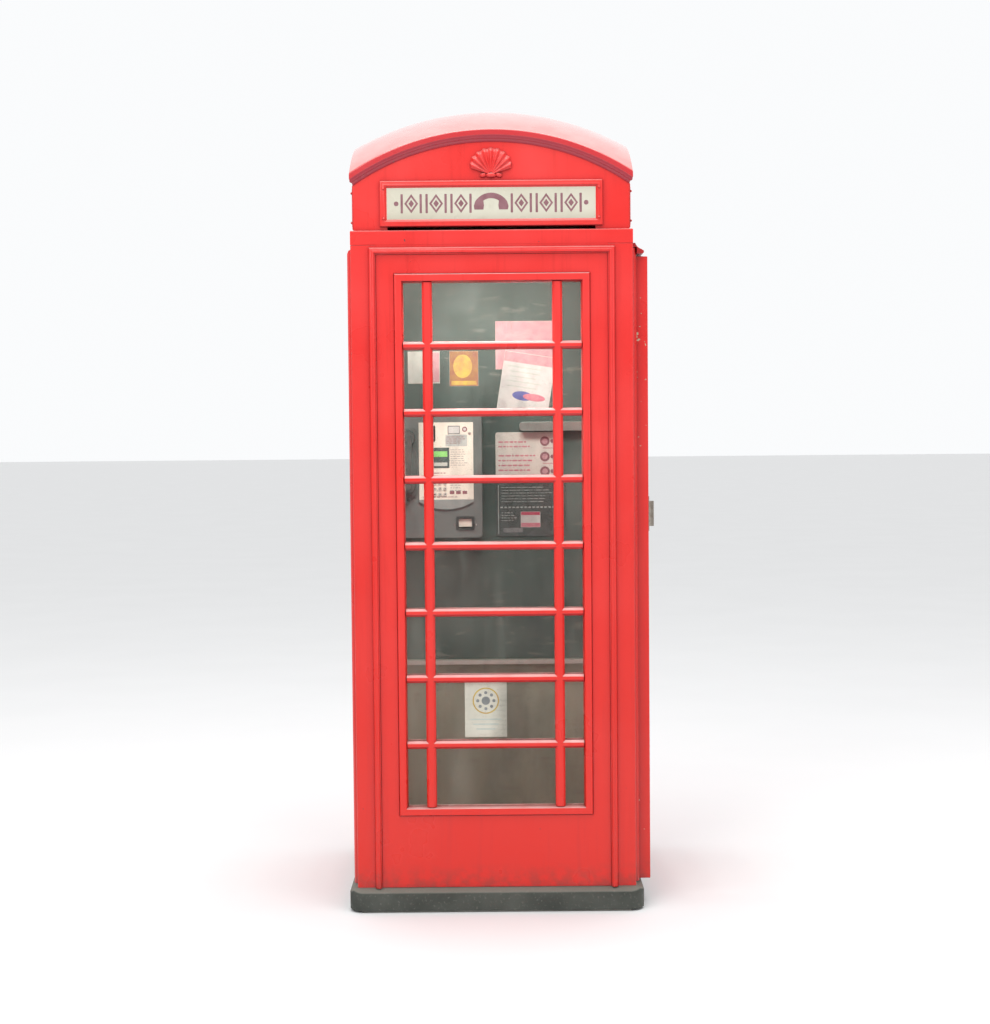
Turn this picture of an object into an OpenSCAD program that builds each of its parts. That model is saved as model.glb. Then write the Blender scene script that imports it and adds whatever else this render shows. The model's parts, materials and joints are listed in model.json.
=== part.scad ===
// Cast-iron telephone booth with a domed roof, three glazed sides and a payphone.
// +Z is up, the front (fixed) side faces -Y and the door faces +X.
// The origin is on the ground, under the middle of the booth.

/* [Overall] */
// Width across the corner posts, both ways
booth_w = 864; // [800:1:930]
// Height of the head frame's top above the ground
body_h = 2100; // [1950:1:2520]
// Height of the roof's crown above the head frame
roof_rise = 415; // [400:1:500]

/* [Plinth] */
// How far the plinth stands out beyond the posts
plinth_out = 25; // [15:1:35]
// Height of the plinth's upright face
plinth_h = 56; // [40:1:80]
// Height of the plinth's sloped top
sill_h = 12; // [8:1:20]
// Radius of the plinth's corners, in plan
plinth_r = 45; // [20:1:60]
// Width of the plinth's ring
plinth_ring = 90; // [80:1:110]
// Thickness of the packing bed under the plinth
bed_t = 6; // [3:1:15]
// Thickness of the floor slab
floor_t = 44; // [30:1:50]
// Distance between anchor bolts, both ways
anchor_pitch = 600; // [450:1:620]
// Radius of an anchor bolt hole
anchor_r = 9; // [6:0.5:13]
// Radius of the cable duct through the floor
duct_r = 26; // [15:1:40]
// Place of the cable duct to the left of the middle
duct_left = 186; // [100:1:220]
// Place of the cable duct behind the middle
duct_back = 300; // [240:1:310]

/* [Posts and head frame] */
// Width of a post's flat outer face
post_face = 55.5; // [45:0.5:67]
// Wall of the hollow posts
post_wall = 12; // [8:1:16]
// Width of the moulding round each side's opening
mould_w = 21.5; // [16:0.5:26]
// How far that moulding stands out
mould_out = 15; // [8:0.5:18]
// Height of the head frame above the side openings
head_h = 73.5; // [65:0.5:90]
// Height of the head frame above its joint with the posts
head_ring_h = 45; // [30:1:50]

/* [Glazed frames] */
// Thickness of a frame
panel_t = 45; // [38:1:54]
// How far a frame's face stands out beyond the posts
panel_out = 3; // [0:0.5:8]
// Width of a frame's stiles
stile_w = 55.5; // [45:0.5:67]
// Height of a frame's top rail
top_rail = 59; // [50:1:75]
// Height of a frame's bottom rail
bottom_rail = 224; // [180:1:270]
// Width of the bead round the glazing
bead_w = 27; // [22:1:32]
// How far the bead stands out beyond the frame
bead_out = 8; // [4:0.5:10]
// Rows of panes
pane_rows = 8; // [6:1:10]
// Width of a side pane
side_pane = 58; // [45:1:70]
// Width of an upright glazing bar
bar_w = 30.5; // [24:0.5:36]
// Height of a level glazing bar
bar_h = 25; // [20:1:30]
// Set-back of the bars from the bead's face
bar_set = 5; // [0:0.5:8]
// Bevel on the edges of the bars
bar_bevel = 7; // [3:0.5:8]
// Depth of the glass behind the bars' face
glass_set = 14; // [12:0.5:20]
// Thickness of the panes
glass_t = 6; // [4:0.5:8]
// How far a pane reaches behind its bars
glass_lap = 6; // [4:0.5:9]

/* [Door] */
// Angle that the door stands open at rest
door_ajar = 3.9; // [0:0.1:8]
// Gap between the door and its opening
door_gap = 3; // [2.4:0.1:4]
// Radius of a hinge knuckle
knuckle_r = 6; // [5:0.5:7]
// Radius of a hinge pin
pin_r = 3; // [2:0.5:3.5]
// Clearance of the pin in the door's knuckles
pin_clear = 0.05; // [0.01:0.01:0.1]
// Length of a hinge
hinge_len = 100; // [80:1:140]
// Height of the handle's middle above the ground
handle_z = 1224; // [1000:1:1400]
// Length of the handle's cup
handle_len = 78; // [60:1:110]
// How far the cup stands out from the door
handle_out = 20; // [15:1:26]

/* [Roof] */
// Height of the dome above the body over the middle of a side
eave_rise = 310.5; // [300:0.5:330]
// Set-back of the fascia from the posts' faces
fascia_set = 11; // [6:1:16]
// Thickness of the fascia walls
fascia_t = 18; // [14:1:24]
// Thickness of the dome
dome_t = 10; // [8:1:14]
// Depth of the cornice under the dome's edge
cornice_t = 20; // [16:1:30]
// How far the cornice stands out beyond the fascia
cornice_out = 12; // [8:1:16]
// Height of the ventilation slots
vent_h = 11; // [8:1:14]
// Width of the ventilation slots
vent_w = 636; // [500:1:700]
// Radius of the lifting hole in the crown
lift_r = 8; // [6:0.5:10]

/* [Signs] */
// Width of a sign's opening
sign_w = 633; // [500:1:680]
// Height of a sign's opening
sign_h = 91; // [70:1:110]
// Width of a sign's frame
sign_border = 24; // [16:1:28]
// Depth of a sign's frame
sign_depth = 12; // [8:1:14]
// Thickness of the sign glass
sign_glass_t = 6; // [4:0.5:6.5]
// Width of the shell ornament
shell_w = 126; // [100:1:150]
// Height of the shell ornament
shell_h = 104; // [80:1:110]

/* [Payphone] */
// Width of the housing
phone_w = 292; // [285:1:340]
// Height of the housing
phone_h = 423; // [420:1:500]
// Depth of the housing
phone_d = 150; // [120:1:170]
// Wall of the housing
phone_wall = 4; // [3:0.5:6]
// Height of the housing's foot above the ground
phone_z = 1121; // [950:1:1200]
// Width of the faceplate
face_w = 186; // [180:1:190]
// Height of the faceplate
face_h = 264; // [255:1:290]
// Thickness of the faceplate
face_t = 3; // [2:0.5:4]
// Radius of a key
key_r = 6; // [4:0.5:6.5]
// Distance between keys across the pad
key_dx = 17.5; // [16.5:0.5:20]
// Distance between keys up the pad
key_dz = 19; // [17:0.5:22]
// Clearance round the keys and the hook switch
key_clear = 0.4; // [0.3:0.05:0.6]
// Width of the coin slot
slot_w = 5; // [4.6:0.1:6]
// Height of the coin slot
slot_h = 32; // [28:1:40]
// Width of the coin return pocket's mouth
pocket_w = 46; // [40:1:52]
// Height of the coin return pocket's mouth
pocket_h = 34; // [28:1:38]
// Radius of the handset's cups
cup_r = 26; // [22:1:28]
// Distance between the handset's cups
cup_pitch = 164; // [150:1:180]

/* [Hidden] */
$fn = 48;

// Levels above the ground
plinth_top = bed_t + plinth_h;
sill_z = plinth_top + sill_h;
floor_z = bed_t + floor_t;
head_z = body_h - head_h;
post_top = body_h - head_ring_h;
crown_z = body_h + roof_rise;

// Half-widths, measured from the booth's middle
half = booth_w / 2;
joint_gap = 0.2;
post_depth = post_face - joint_gap;
open_half = half - post_face - mould_w;
mould_half = half - post_face;
inner_half = half - post_depth;
plinth_half = half + plinth_out;
bed_inset = 9;
bed_half = plinth_half - bed_inset;
bed_slack = 30;
floor_half = plinth_half - plinth_ring;
fascia_half = half - fascia_set;
cornice_half = fascia_half + cornice_out;
panel_y = half + panel_out;

// The glazed field of a frame
bead_half = open_half - stile_w;
glaze_half = bead_half - bead_w;
bead_z0 = sill_z + bottom_rail;
bead_z1 = head_z - top_rail;
glaze_z0 = bead_z0 + bead_w;
glaze_z1 = bead_z1 - bead_w;
pane_h = (glaze_z1 - glaze_z0 - (pane_rows - 1) * bar_h) / pane_rows;
mid_pane = 2 * (glaze_half - side_pane - bar_w);
bar_y = panel_y + bead_out - bar_set;
glass_y = bar_y - glass_set;
grid_back_y = panel_y - panel_t + 6;

// The door and its hinges, closed. The pin stands just outside the door's face.
door_z0 = sill_z + door_gap;
door_z1 = head_z - door_gap - 1;
leaf_t = 2.2;
door_hinge_edge = open_half - door_gap - 2 * leaf_t + 2.4;
door_free_edge = -open_half + door_gap;
pin_x = panel_y + knuckle_r + 2;
pin_y = open_half - knuckle_r - 1;
hinge_zs = [for (share = [0.09, 0.5, 0.91]) door_z0 + share * (door_z1 - door_z0)];
hinge_gap = 0.4;
stop_w = 12;
stop_t = 14;
handle_y = -(open_half - stile_w / 2);
handle_plate_w = 40;
handle_plate_t = 2.5;

// The roof. The dome's radius follows from its rise over the middle of a fascia.
dome_sag = roof_rise - eave_rise;
dome_r = (pow(fascia_half, 2) + pow(dome_sag, 2)) / (2 * dome_sag);
dome_z = crown_z - dome_r;
fascia_inner = fascia_half - fascia_t;
sign_z0 = body_h + vent_h;
sign_mid_z = sign_z0 + sign_border + sign_h / 2;
sign_lip = 4;
shell_z = sign_z0 + 2 * sign_border + sign_h + 8;
shell_ribs = 7;
ceiling_t = 6;
ceiling_z = body_h - 12;
lamp_w = 260;
lamp_d = 130;
lamp_h = 22;

// The equipment at the back
board_t = 18;
board_y = inner_half - board_t;
board_half = inner_half - 1;
ledge_z = 684;
ledge_h = 16;
ledge_d = 34;
ledge_gap = 2;
board_z1 = head_z - 20;
phone_right = -40;
phone_left = phone_right - phone_w;
phone_y = board_y - phone_d;
phone_top = phone_z + phone_h;
face_right = phone_right - 29;
face_left = face_right - face_w;
face_top = phone_top - 28;
face_z = face_top - face_h;
face_y = phone_y - face_t;
key_cols = 3;
key_rows = 4;
pad_x = face_left + 53.5;
pad_z = face_z + 18;
key_out = 3;
key_in = 8;
key_flange = 1;
window_w = 64;
window_h = 70;
window_x = face_left + 72;
window_z = face_top - 121;
slot_x = face_left + 41;
slot_z = face_top - 38;
pocket_x = face_right - 29.5;
pocket_z = phone_z + 49;
pocket_wall = 3;
pocket_d = 46;
flap_t = 2;
flap_pin_r = 1.5;
flap_pin_clear = 0.06;
flap_gap = 0.5;
cup_x = (phone_left + face_left) / 2;
cup_z = face_z + 48;
cup_d = 34;
cradle_t = 10;
cradle_nest = 5;
hook_r = 4;

// Paper. Each card: middle across, middle above the telephone, tilt, width, height, cards under it
card_t = 0.8;
CARDS = [[-101, 160, 0, 100, 122, 0], [-241, 165, 0, 112, 112, 0], [110, 240, 0, 200, 168, 0],
    [117, 107, -9, 180, 205, 1]];
pane_card_x = -30;
pane_card_rise = 94;
pane_card_w = 130;
pane_card_h = 170;

KEYS = [for (n = [1 : key_cols * key_rows]) str("key_", n)];

// Turns a piece made for the front onto side 0 front, 1 right, 2 back or 3 left
module side(k) rotate([0, 0, 90 * k]) children();

// Swings the closed door about its hinge pins to where it rests
module swing() {
    translate([pin_x, pin_y, 0]) rotate([0, 0, door_ajar]) translate([-pin_x, -pin_y, 0]) children();
}

// A box between two corners
module box(a, b) translate(a) cube(b - a);

// A rectangle with round corners, centred
module round_rect(w, h, r) {
    square([w - 2 * r, h], center = true);
    square([w, h - 2 * r], center = true);
    for (x = [-1, 1], y = [-1, 1]) translate([x * (w / 2 - r), y * (h / 2 - r)]) circle(r);
}

// A plate that stands on edge: its outline is drawn in X and Z, its front is at y
module upright(y, t) translate([0, y + t, 0]) rotate([90, 0, 0]) linear_extrude(t) children();

// A frame member's outline is drawn in Y and Z and runs along X
module along_x(x0, x1) translate([x0, 0, 0]) rotate([90, 0, 90]) linear_extrude(x1 - x0) children();

// ---- Base ----

module packing_bed() color([0.45, 0.45, 0.42]) difference() {
    box([-bed_half + bed_slack, -bed_half, 0], [bed_half - bed_slack, bed_half, bed_t]);
    translate([-duct_left, duct_back, -1]) cylinder(r = duct_r + 4, h = bed_t + 2);
    anchor_places() translate([0, 0, -1]) cylinder(r = anchor_r + 4, h = bed_t + 2);
}

module anchor_places() {
    for (x = [-1, 1], y = [-1, 1]) translate([x * anchor_pitch / 2, y * anchor_pitch / 2, 0]) children();
}

// The sloped sill's outline across the booth
module sill_outline() {
    top = half + 1;
    polygon([[-plinth_half, plinth_top], [plinth_half, plinth_top], [top, sill_z], [-top, sill_z]]);
}

module plinth() color([0.30, 0.31, 0.29]) difference() {
    union() {
        translate([0, 0, bed_t]) linear_extrude(plinth_h)
            round_rect(2 * plinth_half, 2 * plinth_half, plinth_r);
        intersection() {
            upright(-plinth_half, 2 * plinth_half) sill_outline();
            along_x(-plinth_half, plinth_half) sill_outline();
            linear_extrude(sill_z) round_rect(2 * plinth_half, 2 * plinth_half, plinth_r);
        }
    }
    box([-floor_half, -floor_half, 0], [floor_half, floor_half, sill_z + 1]);
}

module floor_slab() color([0.42, 0.42, 0.40]) difference() {
    box([-floor_half, -floor_half, bed_t], [floor_half, floor_half, floor_z]);
    translate([-duct_left, duct_back, bed_t - 1]) cylinder(r = duct_r, h = floor_t + 2);
    anchor_places() translate([0, 0, bed_t - 1]) cylinder(r = anchor_r, h = floor_t + 2);
}

// ---- Posts and head frame ----

// Section of the moulding: u runs from its outer edge towards the opening, v outwards
module mould_section() {
    polygon([[0, 0], [0, 0.25 * mould_out], [0.45 * mould_w, 0.9 * mould_out], [0.6 * mould_w, mould_out],
        [0.78 * mould_w, mould_out], [mould_w, 0.5 * mould_out], [mould_w, 0]]);
}

// Upright leg of the front moulding, on the left, mitred at its top
module mould_leg() intersection() {
    upright(-half - mould_out, mould_out) polygon([[-mould_half, sill_z], [-open_half, sill_z],
        [-open_half, head_z], [-mould_half, head_z + mould_w]]);
    linear_extrude(body_h) translate([-mould_half, -half]) mirror([0, 1]) mould_section();
}

// Level bar of the front moulding, mitred at both ends
module mould_bar() intersection() {
    upright(-half - mould_out, mould_out) polygon([[-mould_half, head_z + mould_w],
        [mould_half, head_z + mould_w], [open_half, head_z], [-open_half, head_z]]);
    along_x(-mould_half, mould_half) translate([-half, head_z + mould_w])
        mirror([1, 0]) rotate(-90) mould_section();
}

// A rectangle in plan with a smaller one taken out of its middle
module hollow_section(w, d, wall) difference() {
    square([w, d]);
    translate([wall, wall]) square([w - 2 * wall, d - 2 * wall]);
}

// The wide bar of a post, with its corner at the origin and a rounded arris
module post_section() difference() {
    arris = 5;
    hollow_section(post_face + mould_w, post_depth, post_wall);
    difference() {
        translate([-1, -1]) square(arris + 1);
        translate([arris, arris]) circle(arris);
    }
}

// The post at the front left: a wide bar on the front and a narrow return bar on the left,
// with a leg of the moulding on each
module post() color([0.85, 0.10, 0.08]) {
    rise = post_top - sill_z;
    union() {
        translate([-half, -half, sill_z]) linear_extrude(rise) post_section();
        mould_leg();
    }
    union() {
        translate([-half, post_face - half, sill_z]) linear_extrude(rise)
            hollow_section(post_depth, mould_w, post_wall / 2);
        mirror([1, -1, 0]) mould_leg();
    }
}

module head_frame() color([0.85, 0.10, 0.08]) union() {
    difference() {
        box([-half, -half, post_top], [half, half, body_h]);
        box([-inner_half, -inner_half, post_top - 1], [inner_half, inner_half, body_h + 1]);
    }
    for (k = [0 : 3]) side(k) {
        box([-open_half, -half, head_z], [open_half, -inner_half, post_top + 1]);
        mould_bar();
    }
}

// ---- Roof ----

module dome(r) translate([0, 0, dome_z]) sphere(r, $fn = 180);

module roof() color([0.88, 0.14, 0.12]) difference() {
    union() {
        intersection() {
            dome(dome_r);
            box([-fascia_half, -fascia_half, body_h], [fascia_half, fascia_half, crown_z]);
        }
        intersection() {
            difference() {
                dome(dome_r);
                dome(dome_r - cornice_t);
            }
            box([-cornice_half, -cornice_half, body_h], [cornice_half, cornice_half, crown_z]);
        }
    }
    intersection() {
        dome(dome_r - dome_t);
        box([-fascia_inner, -fascia_inner, body_h - 1], [fascia_inner, fascia_inner, crown_z]);
    }
    for (k = [0 : 3]) side(k) {
        box([-vent_w / 2, -half, body_h - 1], [vent_w / 2, -fascia_inner + 5, body_h + vent_h]);
        upright(-half, half - fascia_inner + 5) translate([0, sign_mid_z])
            square([sign_w - 18, sign_h - 16], center = true);
    }
    translate([0, 0, crown_z - 50]) cylinder(r = lift_r, h = 60);
}

module sign_frames() color([0.85, 0.10, 0.08]) for (k = [0 : 3]) side(k) difference() {
    upright(-fascia_half - sign_depth, sign_depth) translate([0, sign_mid_z])
        square([sign_w + 2 * sign_border, sign_h + 2 * sign_border], center = true);
    upright(-fascia_half - sign_depth - 1, sign_depth + 2) translate([0, sign_mid_z])
        square([sign_w, sign_h], center = true);
    upright(-fascia_half - sign_glass_t - 0.5, sign_glass_t + 1) translate([0, sign_mid_z])
        square([sign_w + 2 * sign_lip, sign_h + 2 * sign_lip], center = true);
}

module sign_glasses() color([0.88, 0.86, 0.79]) for (k = [0 : 3]) side(k)
    upright(-fascia_half - sign_glass_t, sign_glass_t) translate([0, sign_mid_z])
        square([sign_w + 2 * sign_lip - 1, sign_h + 2 * sign_lip - 1], center = true);

// A scallop shell in relief: a fan of tapered ribs over a scrolled foot
module shell() {
    foot = 14;
    rib_len = shell_h - 20;
    fan = 62;
    intersection() {
        translate([-shell_w / 2, -fascia_half - 16, shell_z]) cube([shell_w, 16, shell_h]);
        union() {
            for (i = [0 : shell_ribs - 1]) translate([0, -fascia_half, shell_z + foot / 2])
                rotate([0, -fan + i * 2 * fan / (shell_ribs - 1), 0])
                    cylinder(r1 = 4, r2 = 13, h = rib_len * (1 - 0.07 * abs(i - (shell_ribs - 1) / 2)));
            translate([-shell_w / 4, -fascia_half, shell_z + foot / 2]) rotate([0, 90, 0])
                cylinder(r = foot / 2, h = shell_w / 2);
        }
    }
}

module roof_ornaments() color([0.85, 0.10, 0.08]) for (k = [0 : 3]) side(k) shell();

module ceiling_panel() color([0.85, 0.85, 0.82])
    box([-inner_half, -inner_half, ceiling_z], [inner_half, inner_half, ceiling_z + ceiling_t]);

module ceiling_light() color([0.75, 0.75, 0.72]) translate([0, 0, ceiling_z - 8]) linear_extrude(8)
    round_rect(lamp_w + 20, lamp_d + 20, 14);

module ceiling_light_lens() color([0.95, 0.95, 0.90]) translate([0, 0, ceiling_z - 8 - lamp_h])
    linear_extrude(lamp_h) round_rect(lamp_w, lamp_d, 12);

// ---- Glazed frames ----

// The stiles and rails of a glazed side, drawn for the front, between two edges and two levels
module glazed_frame(x0, x1, z0, z1) {
    back = -panel_y + panel_t;
    rail_half = bead_half - joint_gap;
    box([x0, -panel_y, z0], [-bead_half, back, z1]);
    box([bead_half, -panel_y, z0], [x1, back, z1]);
    box([-rail_half, -panel_y, z0], [rail_half, back, bead_z0]);
    box([-rail_half, -panel_y, bead_z1], [rail_half, back, z1]);
}

// Columns of panes as [left edge, width]
pane_cols = [[-glaze_half, side_pane], [-mid_pane / 2, mid_pane], [glaze_half - side_pane, side_pane]];

module each_pane() for (col = pane_cols, row = [0 : pane_rows - 1])
    translate([col[0], 0, glaze_z0 + row * (pane_h + bar_h)]) {
        $pane_w = col[1];
        children();
    }

// The tapered hole of one pane, bevelled at the front and rebated for its glass at the back
module pane_hole(w, h) {
    front = -bar_y - 1;
    sill = -bar_y + bar_bevel;
    bevel = 3;
    intersection() {
        along_x(-bevel, w + bevel) polygon([[front, -bevel], [sill, 0], [0, 0], [0, h], [sill, h],
            [front, h + bevel]]);
        translate([0, 0, -bevel]) linear_extrude(h + 2 * bevel) polygon([[-bevel, front], [0, sill],
            [0, 0], [w, 0], [w, sill], [w + bevel, front]]);
    }
    box([-glass_lap, -glass_y, -glass_lap], [w + glass_lap, 0, h + glass_lap]);
}

module glazing_bars() difference() {
    union() {
        difference() {
            box([-bead_half, -panel_y - bead_out, bead_z0], [bead_half, -grid_back_y, bead_z1]);
            box([-glaze_half, -panel_y - bead_out - 1, glaze_z0], [glaze_half, 0, glaze_z1]);
        }
        box([-glaze_half, -bar_y, glaze_z0], [glaze_half, -grid_back_y, glaze_z1]);
    }
    each_pane() pane_hole($pane_w, pane_h);
}

module glass_panes() {
    reach = glass_lap - 0.3;
    each_pane() box([-reach, -glass_y, -reach], [$pane_w + reach, -glass_y + glass_t, pane_h + reach]);
}

module front_frame() color([0.85, 0.10, 0.08]) glazed_frame(-open_half, open_half, sill_z, head_z);
module front_glazing_bars() color([0.88, 0.12, 0.10]) glazing_bars();
module front_glass() color([0.70, 0.78, 0.75, 0.4]) glass_panes();
module left_frame() color([0.85, 0.10, 0.08]) side(3) front_frame();
module left_glazing_bars() color([0.88, 0.12, 0.10]) side(3) glazing_bars();
module left_glass() color([0.70, 0.78, 0.75, 0.4]) side(3) glass_panes();

module back_panel() color([0.80, 0.09, 0.08]) side(2) difference() {
    field = open_half - stile_w;
    box([-open_half, -panel_y, sill_z], [open_half, -panel_y + panel_t, head_z]);
    box([-field, -panel_y - 1, sill_z + stile_w], [field, -panel_y + 8, head_z - stile_w]);
    box([-field, -panel_y + 20, sill_z + stile_w], [field, -panel_y + panel_t + 1, head_z - stile_w]);
}

// ---- Door ----

module door_frame() color([0.85, 0.10, 0.08]) swing() side(1)
    glazed_frame(door_free_edge, door_hinge_edge, door_z0, door_z1);
module door_glazing_bars() color([0.88, 0.12, 0.10]) swing() side(1) glazing_bars();
module door_glass() color([0.70, 0.78, 0.75, 0.4]) swing() side(1) glass_panes();

// Cup pull on the door's free stile: a back plate and a half-round cup, open towards the hinges
module door_handle() color([0.72, 0.70, 0.66]) swing() translate([panel_y, handle_y, handle_z]) {
    wall = 2;
    difference() {
        union() {
            translate([0, -handle_plate_w / 2, -handle_len / 2 - 15])
                cube([handle_plate_t, handle_plate_w, handle_len + 30]);
            translate([0, 0, -handle_len / 2]) cylinder(r = handle_out, h = handle_len);
        }
        translate([handle_plate_t, 0, wall - handle_len / 2])
            cylinder(r = handle_out - wall - 2, h = handle_len - 2 * wall);
        box([handle_plate_t, 4, wall - handle_len / 2], [handle_out + 5, handle_out, handle_len / 2 - wall]);
        box([-handle_out - 1, -handle_out - 1, -handle_len], [0, handle_out + 1, handle_len]);
    }
}

// One third of a hinge's height carries the door's knuckle, between two on the frame
module hinge_barrel(z, r, low, high) translate([pin_x, pin_y, z + low]) cylinder(r = r, h = high - low);

module knuckle(z, low, high, bore) difference() {
    union() {
        hinge_barrel(z, knuckle_r, low, high);
        children();
    }
    hinge_barrel(z, bore, low - 1, high + 1);
}

module hinge_frame_leaves() color([0.55, 0.10, 0.09]) {
    plate_y = open_half - leaf_t;
    third = hinge_len / 3;
    back = panel_y - panel_t + 4;
    for (z = hinge_zs) {
        for (part = [[0, third], [2 * third, hinge_len]]) knuckle(z - hinge_len / 2, part[0], part[1], pin_r)
            box([back, plate_y, z - hinge_len / 2 + part[0]],
                [pin_x, open_half, z - hinge_len / 2 + part[1]]);
        translate([pin_x, pin_y, z - hinge_len / 2 - 2]) cylinder(r = pin_r, h = hinge_len + 4);
    }
}

module hinge_door_leaves() color([0.55, 0.10, 0.09]) swing() {
    third = hinge_len / 3;
    back = panel_y - panel_t + 4;
    for (z = hinge_zs)
        knuckle(z - hinge_len / 2, third + hinge_gap, 2 * third - hinge_gap, pin_r + pin_clear)
            box([back, door_hinge_edge, z - hinge_len / 2 + third + hinge_gap],
                [pin_x - 2, door_hinge_edge + leaf_t, z - hinge_len / 2 + 2 * third - hinge_gap]);
}

// Rebate strips that the door closes against, up both sides of its opening and over it
module door_stop() color([0.60, 0.08, 0.07]) {
    x1 = panel_y - panel_t - 0.5;
    x0 = x1 - stop_t;
    for (y = [-open_half, open_half - stop_w]) box([x0, y, sill_z], [x1, y + stop_w, head_z]);
    head_half = open_half - stop_w - joint_gap;
    box([x0, -head_half, head_z - stop_w], [x1, head_half, head_z]);
}

// Drip hood over the door: a hollow-curved top that ends in a rounded nose and
// sits over the top bar of the moulding
module door_hood() color([0.70, 0.09, 0.08]) {
    reach = 38;
    rise = 33;
    foot = head_z + 2;
    nose = 6;
    fit = 0.3;
    rotate([90, 0, 0]) translate([0, 0, -mould_half]) linear_extrude(2 * mould_half) difference() {
        union() {
            difference() {
                translate([half, foot]) square([reach - nose, rise]);
                translate([half + reach, foot + rise + 8]) circle(reach - 10);
            }
            translate([half + reach - nose, foot + nose]) circle(nose);
        }
        translate([half - 1, foot - 1]) square([mould_out + 1 + fit, head_z + mould_w + fit - foot + 1]);
    }
}

// Small round-headed screws round the signs and along the hood
module screw_head(r) intersection() {
    sphere(r);
    translate([-r, -r, -r]) cube([2 * r, r, 2 * r]);
}

module frame_screws() color([0.75, 0.10, 0.08]) {
    inset = sign_border / 2;
    for (k = [0 : 3], x = [-1, 1], z = [-1, 1]) side(k)
        translate([x * (sign_w / 2 + inset), -fascia_half - sign_depth, sign_mid_z + z * sign_h / 2])
            screw_head(4);
}

// ---- Equipment ----

module backboard() color([0.30, 0.34, 0.32])
    box([-board_half, board_y, sill_z], [board_half, inner_half, board_z1]);

module backboard_ledge() color([0.55, 0.55, 0.50])
    box([ledge_gap - board_half, board_y - ledge_d, ledge_z - ledge_h],
        [board_half - ledge_gap, board_y, ledge_z]);

module payphone_housing() color([0.36, 0.39, 0.38]) difference() {
    upright(phone_y, phone_d) translate([phone_left + phone_w / 2, phone_z + phone_h / 2])
        round_rect(phone_w, phone_h, 14);
    upright(phone_y + phone_wall, phone_d) translate([phone_left + phone_w / 2, phone_z + phone_h / 2])
        round_rect(phone_w - 2 * phone_wall, phone_h - 2 * phone_wall, 10);
    box([pad_x - key_dx * 0.6, phone_y - 1, pad_z - key_dz * 0.5],
        [pad_x + key_dx * (key_cols - 0.4), phone_y + phone_wall + 1, pad_z + key_dz * (key_rows - 0.5)]);
    coin_slot_space(phone_y - 1, phone_y + phone_wall + 1);
    upright(phone_y - 1, phone_wall + 2) translate([pocket_x, pocket_z])
        square([pocket_w + 2 * pocket_wall, pocket_h + 2 * pocket_wall], center = true);
    hook_hole(phone_y - 1, phone_wall + 2);
}

module coin_slot_space(y0, y1)
    box([slot_x - slot_w / 2, y0, slot_z - slot_h / 2], [slot_x + slot_w / 2, y1, slot_z + slot_h / 2]);

// Places key n, counted from 1 at the upper left
module key_place(n) {
    col = (n - 1) % key_cols;
    row = key_rows - 1 - floor((n - 1) / key_cols);
    translate([pad_x + col * key_dx, phone_y, pad_z + row * key_dz]) rotate([-90, 0, 0]) children();
}

module key(n) color([0.80, 0.80, 0.76]) key_place(n) {
    translate([0, 0, -face_t - key_out]) cylinder(r = key_r, h = face_t + key_out + key_in);
    translate([0, 0, key_clear]) cylinder(r = key_r + key_flange, h = 2);
}

module payphone_faceplate() color([0.86, 0.84, 0.80]) difference() {
    box([face_left, face_y, face_z], [face_right, phone_y, face_top]);
    for (n = [1 : key_cols * key_rows]) key_place(n) translate([0, 0, -face_t - 1])
        cylinder(r = key_r + key_clear, h = face_t + 2);
    coin_slot_space(face_y - 1, phone_y + 1);
}

// Curved lip under the faceplate
module housing_lip() color([0.55, 0.58, 0.57]) intersection() {
    box([face_left, phone_y - 6, face_z - 34], [face_right, phone_y, face_z - 0.3]);
    translate([(face_left + face_right) / 2, 0, face_z + 140]) rotate([90, 0, 0])
        translate([0, 0, -phone_y]) cylinder(r = 174, h = 12, $fn = 96);
}

module display_window() color([0.25, 0.30, 0.29])
    box([window_x - window_w / 2, face_y - 1.5, window_z - window_h / 2],
        [window_x + window_w / 2, face_y, window_z + window_h / 2]);

module coin_slot_plate() color([0.16, 0.17, 0.17]) difference() {
    upright(face_y - 3, 3) translate([slot_x, slot_z]) round_rect(32, 56, 6);
    coin_slot_space(face_y - 4, face_y + 1);
}

module coin_return_pocket() color([0.13, 0.14, 0.14]) difference() {
    union() {
        upright(phone_y - 2.5, 2.5) translate([pocket_x, pocket_z])
            round_rect(pocket_w + 18, pocket_h + 14, 5);
        upright(phone_y - 0.1, pocket_d) translate([pocket_x, pocket_z])
            square([pocket_w + 2 * pocket_wall, pocket_h + 2 * pocket_wall], center = true);
    }
    upright(phone_y - 4, pocket_d) translate([pocket_x, pocket_z])
        square([pocket_w, pocket_h], center = true);
    flap_pin(flap_pin_r + flap_pin_clear, pocket_w / 2 + pocket_wall + 1);
}

// The flap hangs from a pin through the pocket's cheeks, near the top of its mouth
flap_pin_y = phone_y + 6;
flap_pin_z = pocket_z + pocket_h / 2 - 3;
module flap_pin(r, reach) translate([pocket_x - reach, flap_pin_y, flap_pin_z]) rotate([0, 90, 0])
    cylinder(r = r, h = 2 * reach);

module coin_return_flap() color([0.87, 0.85, 0.78]) union() {
    flap_half = pocket_w / 2 - flap_gap;
    box([pocket_x - flap_half, flap_pin_y - flap_t / 2, pocket_z - pocket_h / 2 + 5],
        [pocket_x + flap_half, flap_pin_y + flap_t / 2, flap_pin_z + 1]);
    flap_pin(flap_pin_r, pocket_w / 2 + pocket_wall - 0.5);
}

// Two screws beside the coin return pocket and the faceplate's round lock
module payphone_fixings() color([0.60, 0.60, 0.58]) {
    for (x = [-1, 1]) translate([pocket_x + x * (pocket_w / 2 + 14), phone_y, pocket_z - 5])
        rotate([90, 0, 0]) cylinder(r = 3, h = 1.5);
    translate([face_right - 12, face_y, slot_z]) rotate([90, 0, 0]) cylinder(r = 5, h = 2);
}

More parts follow.
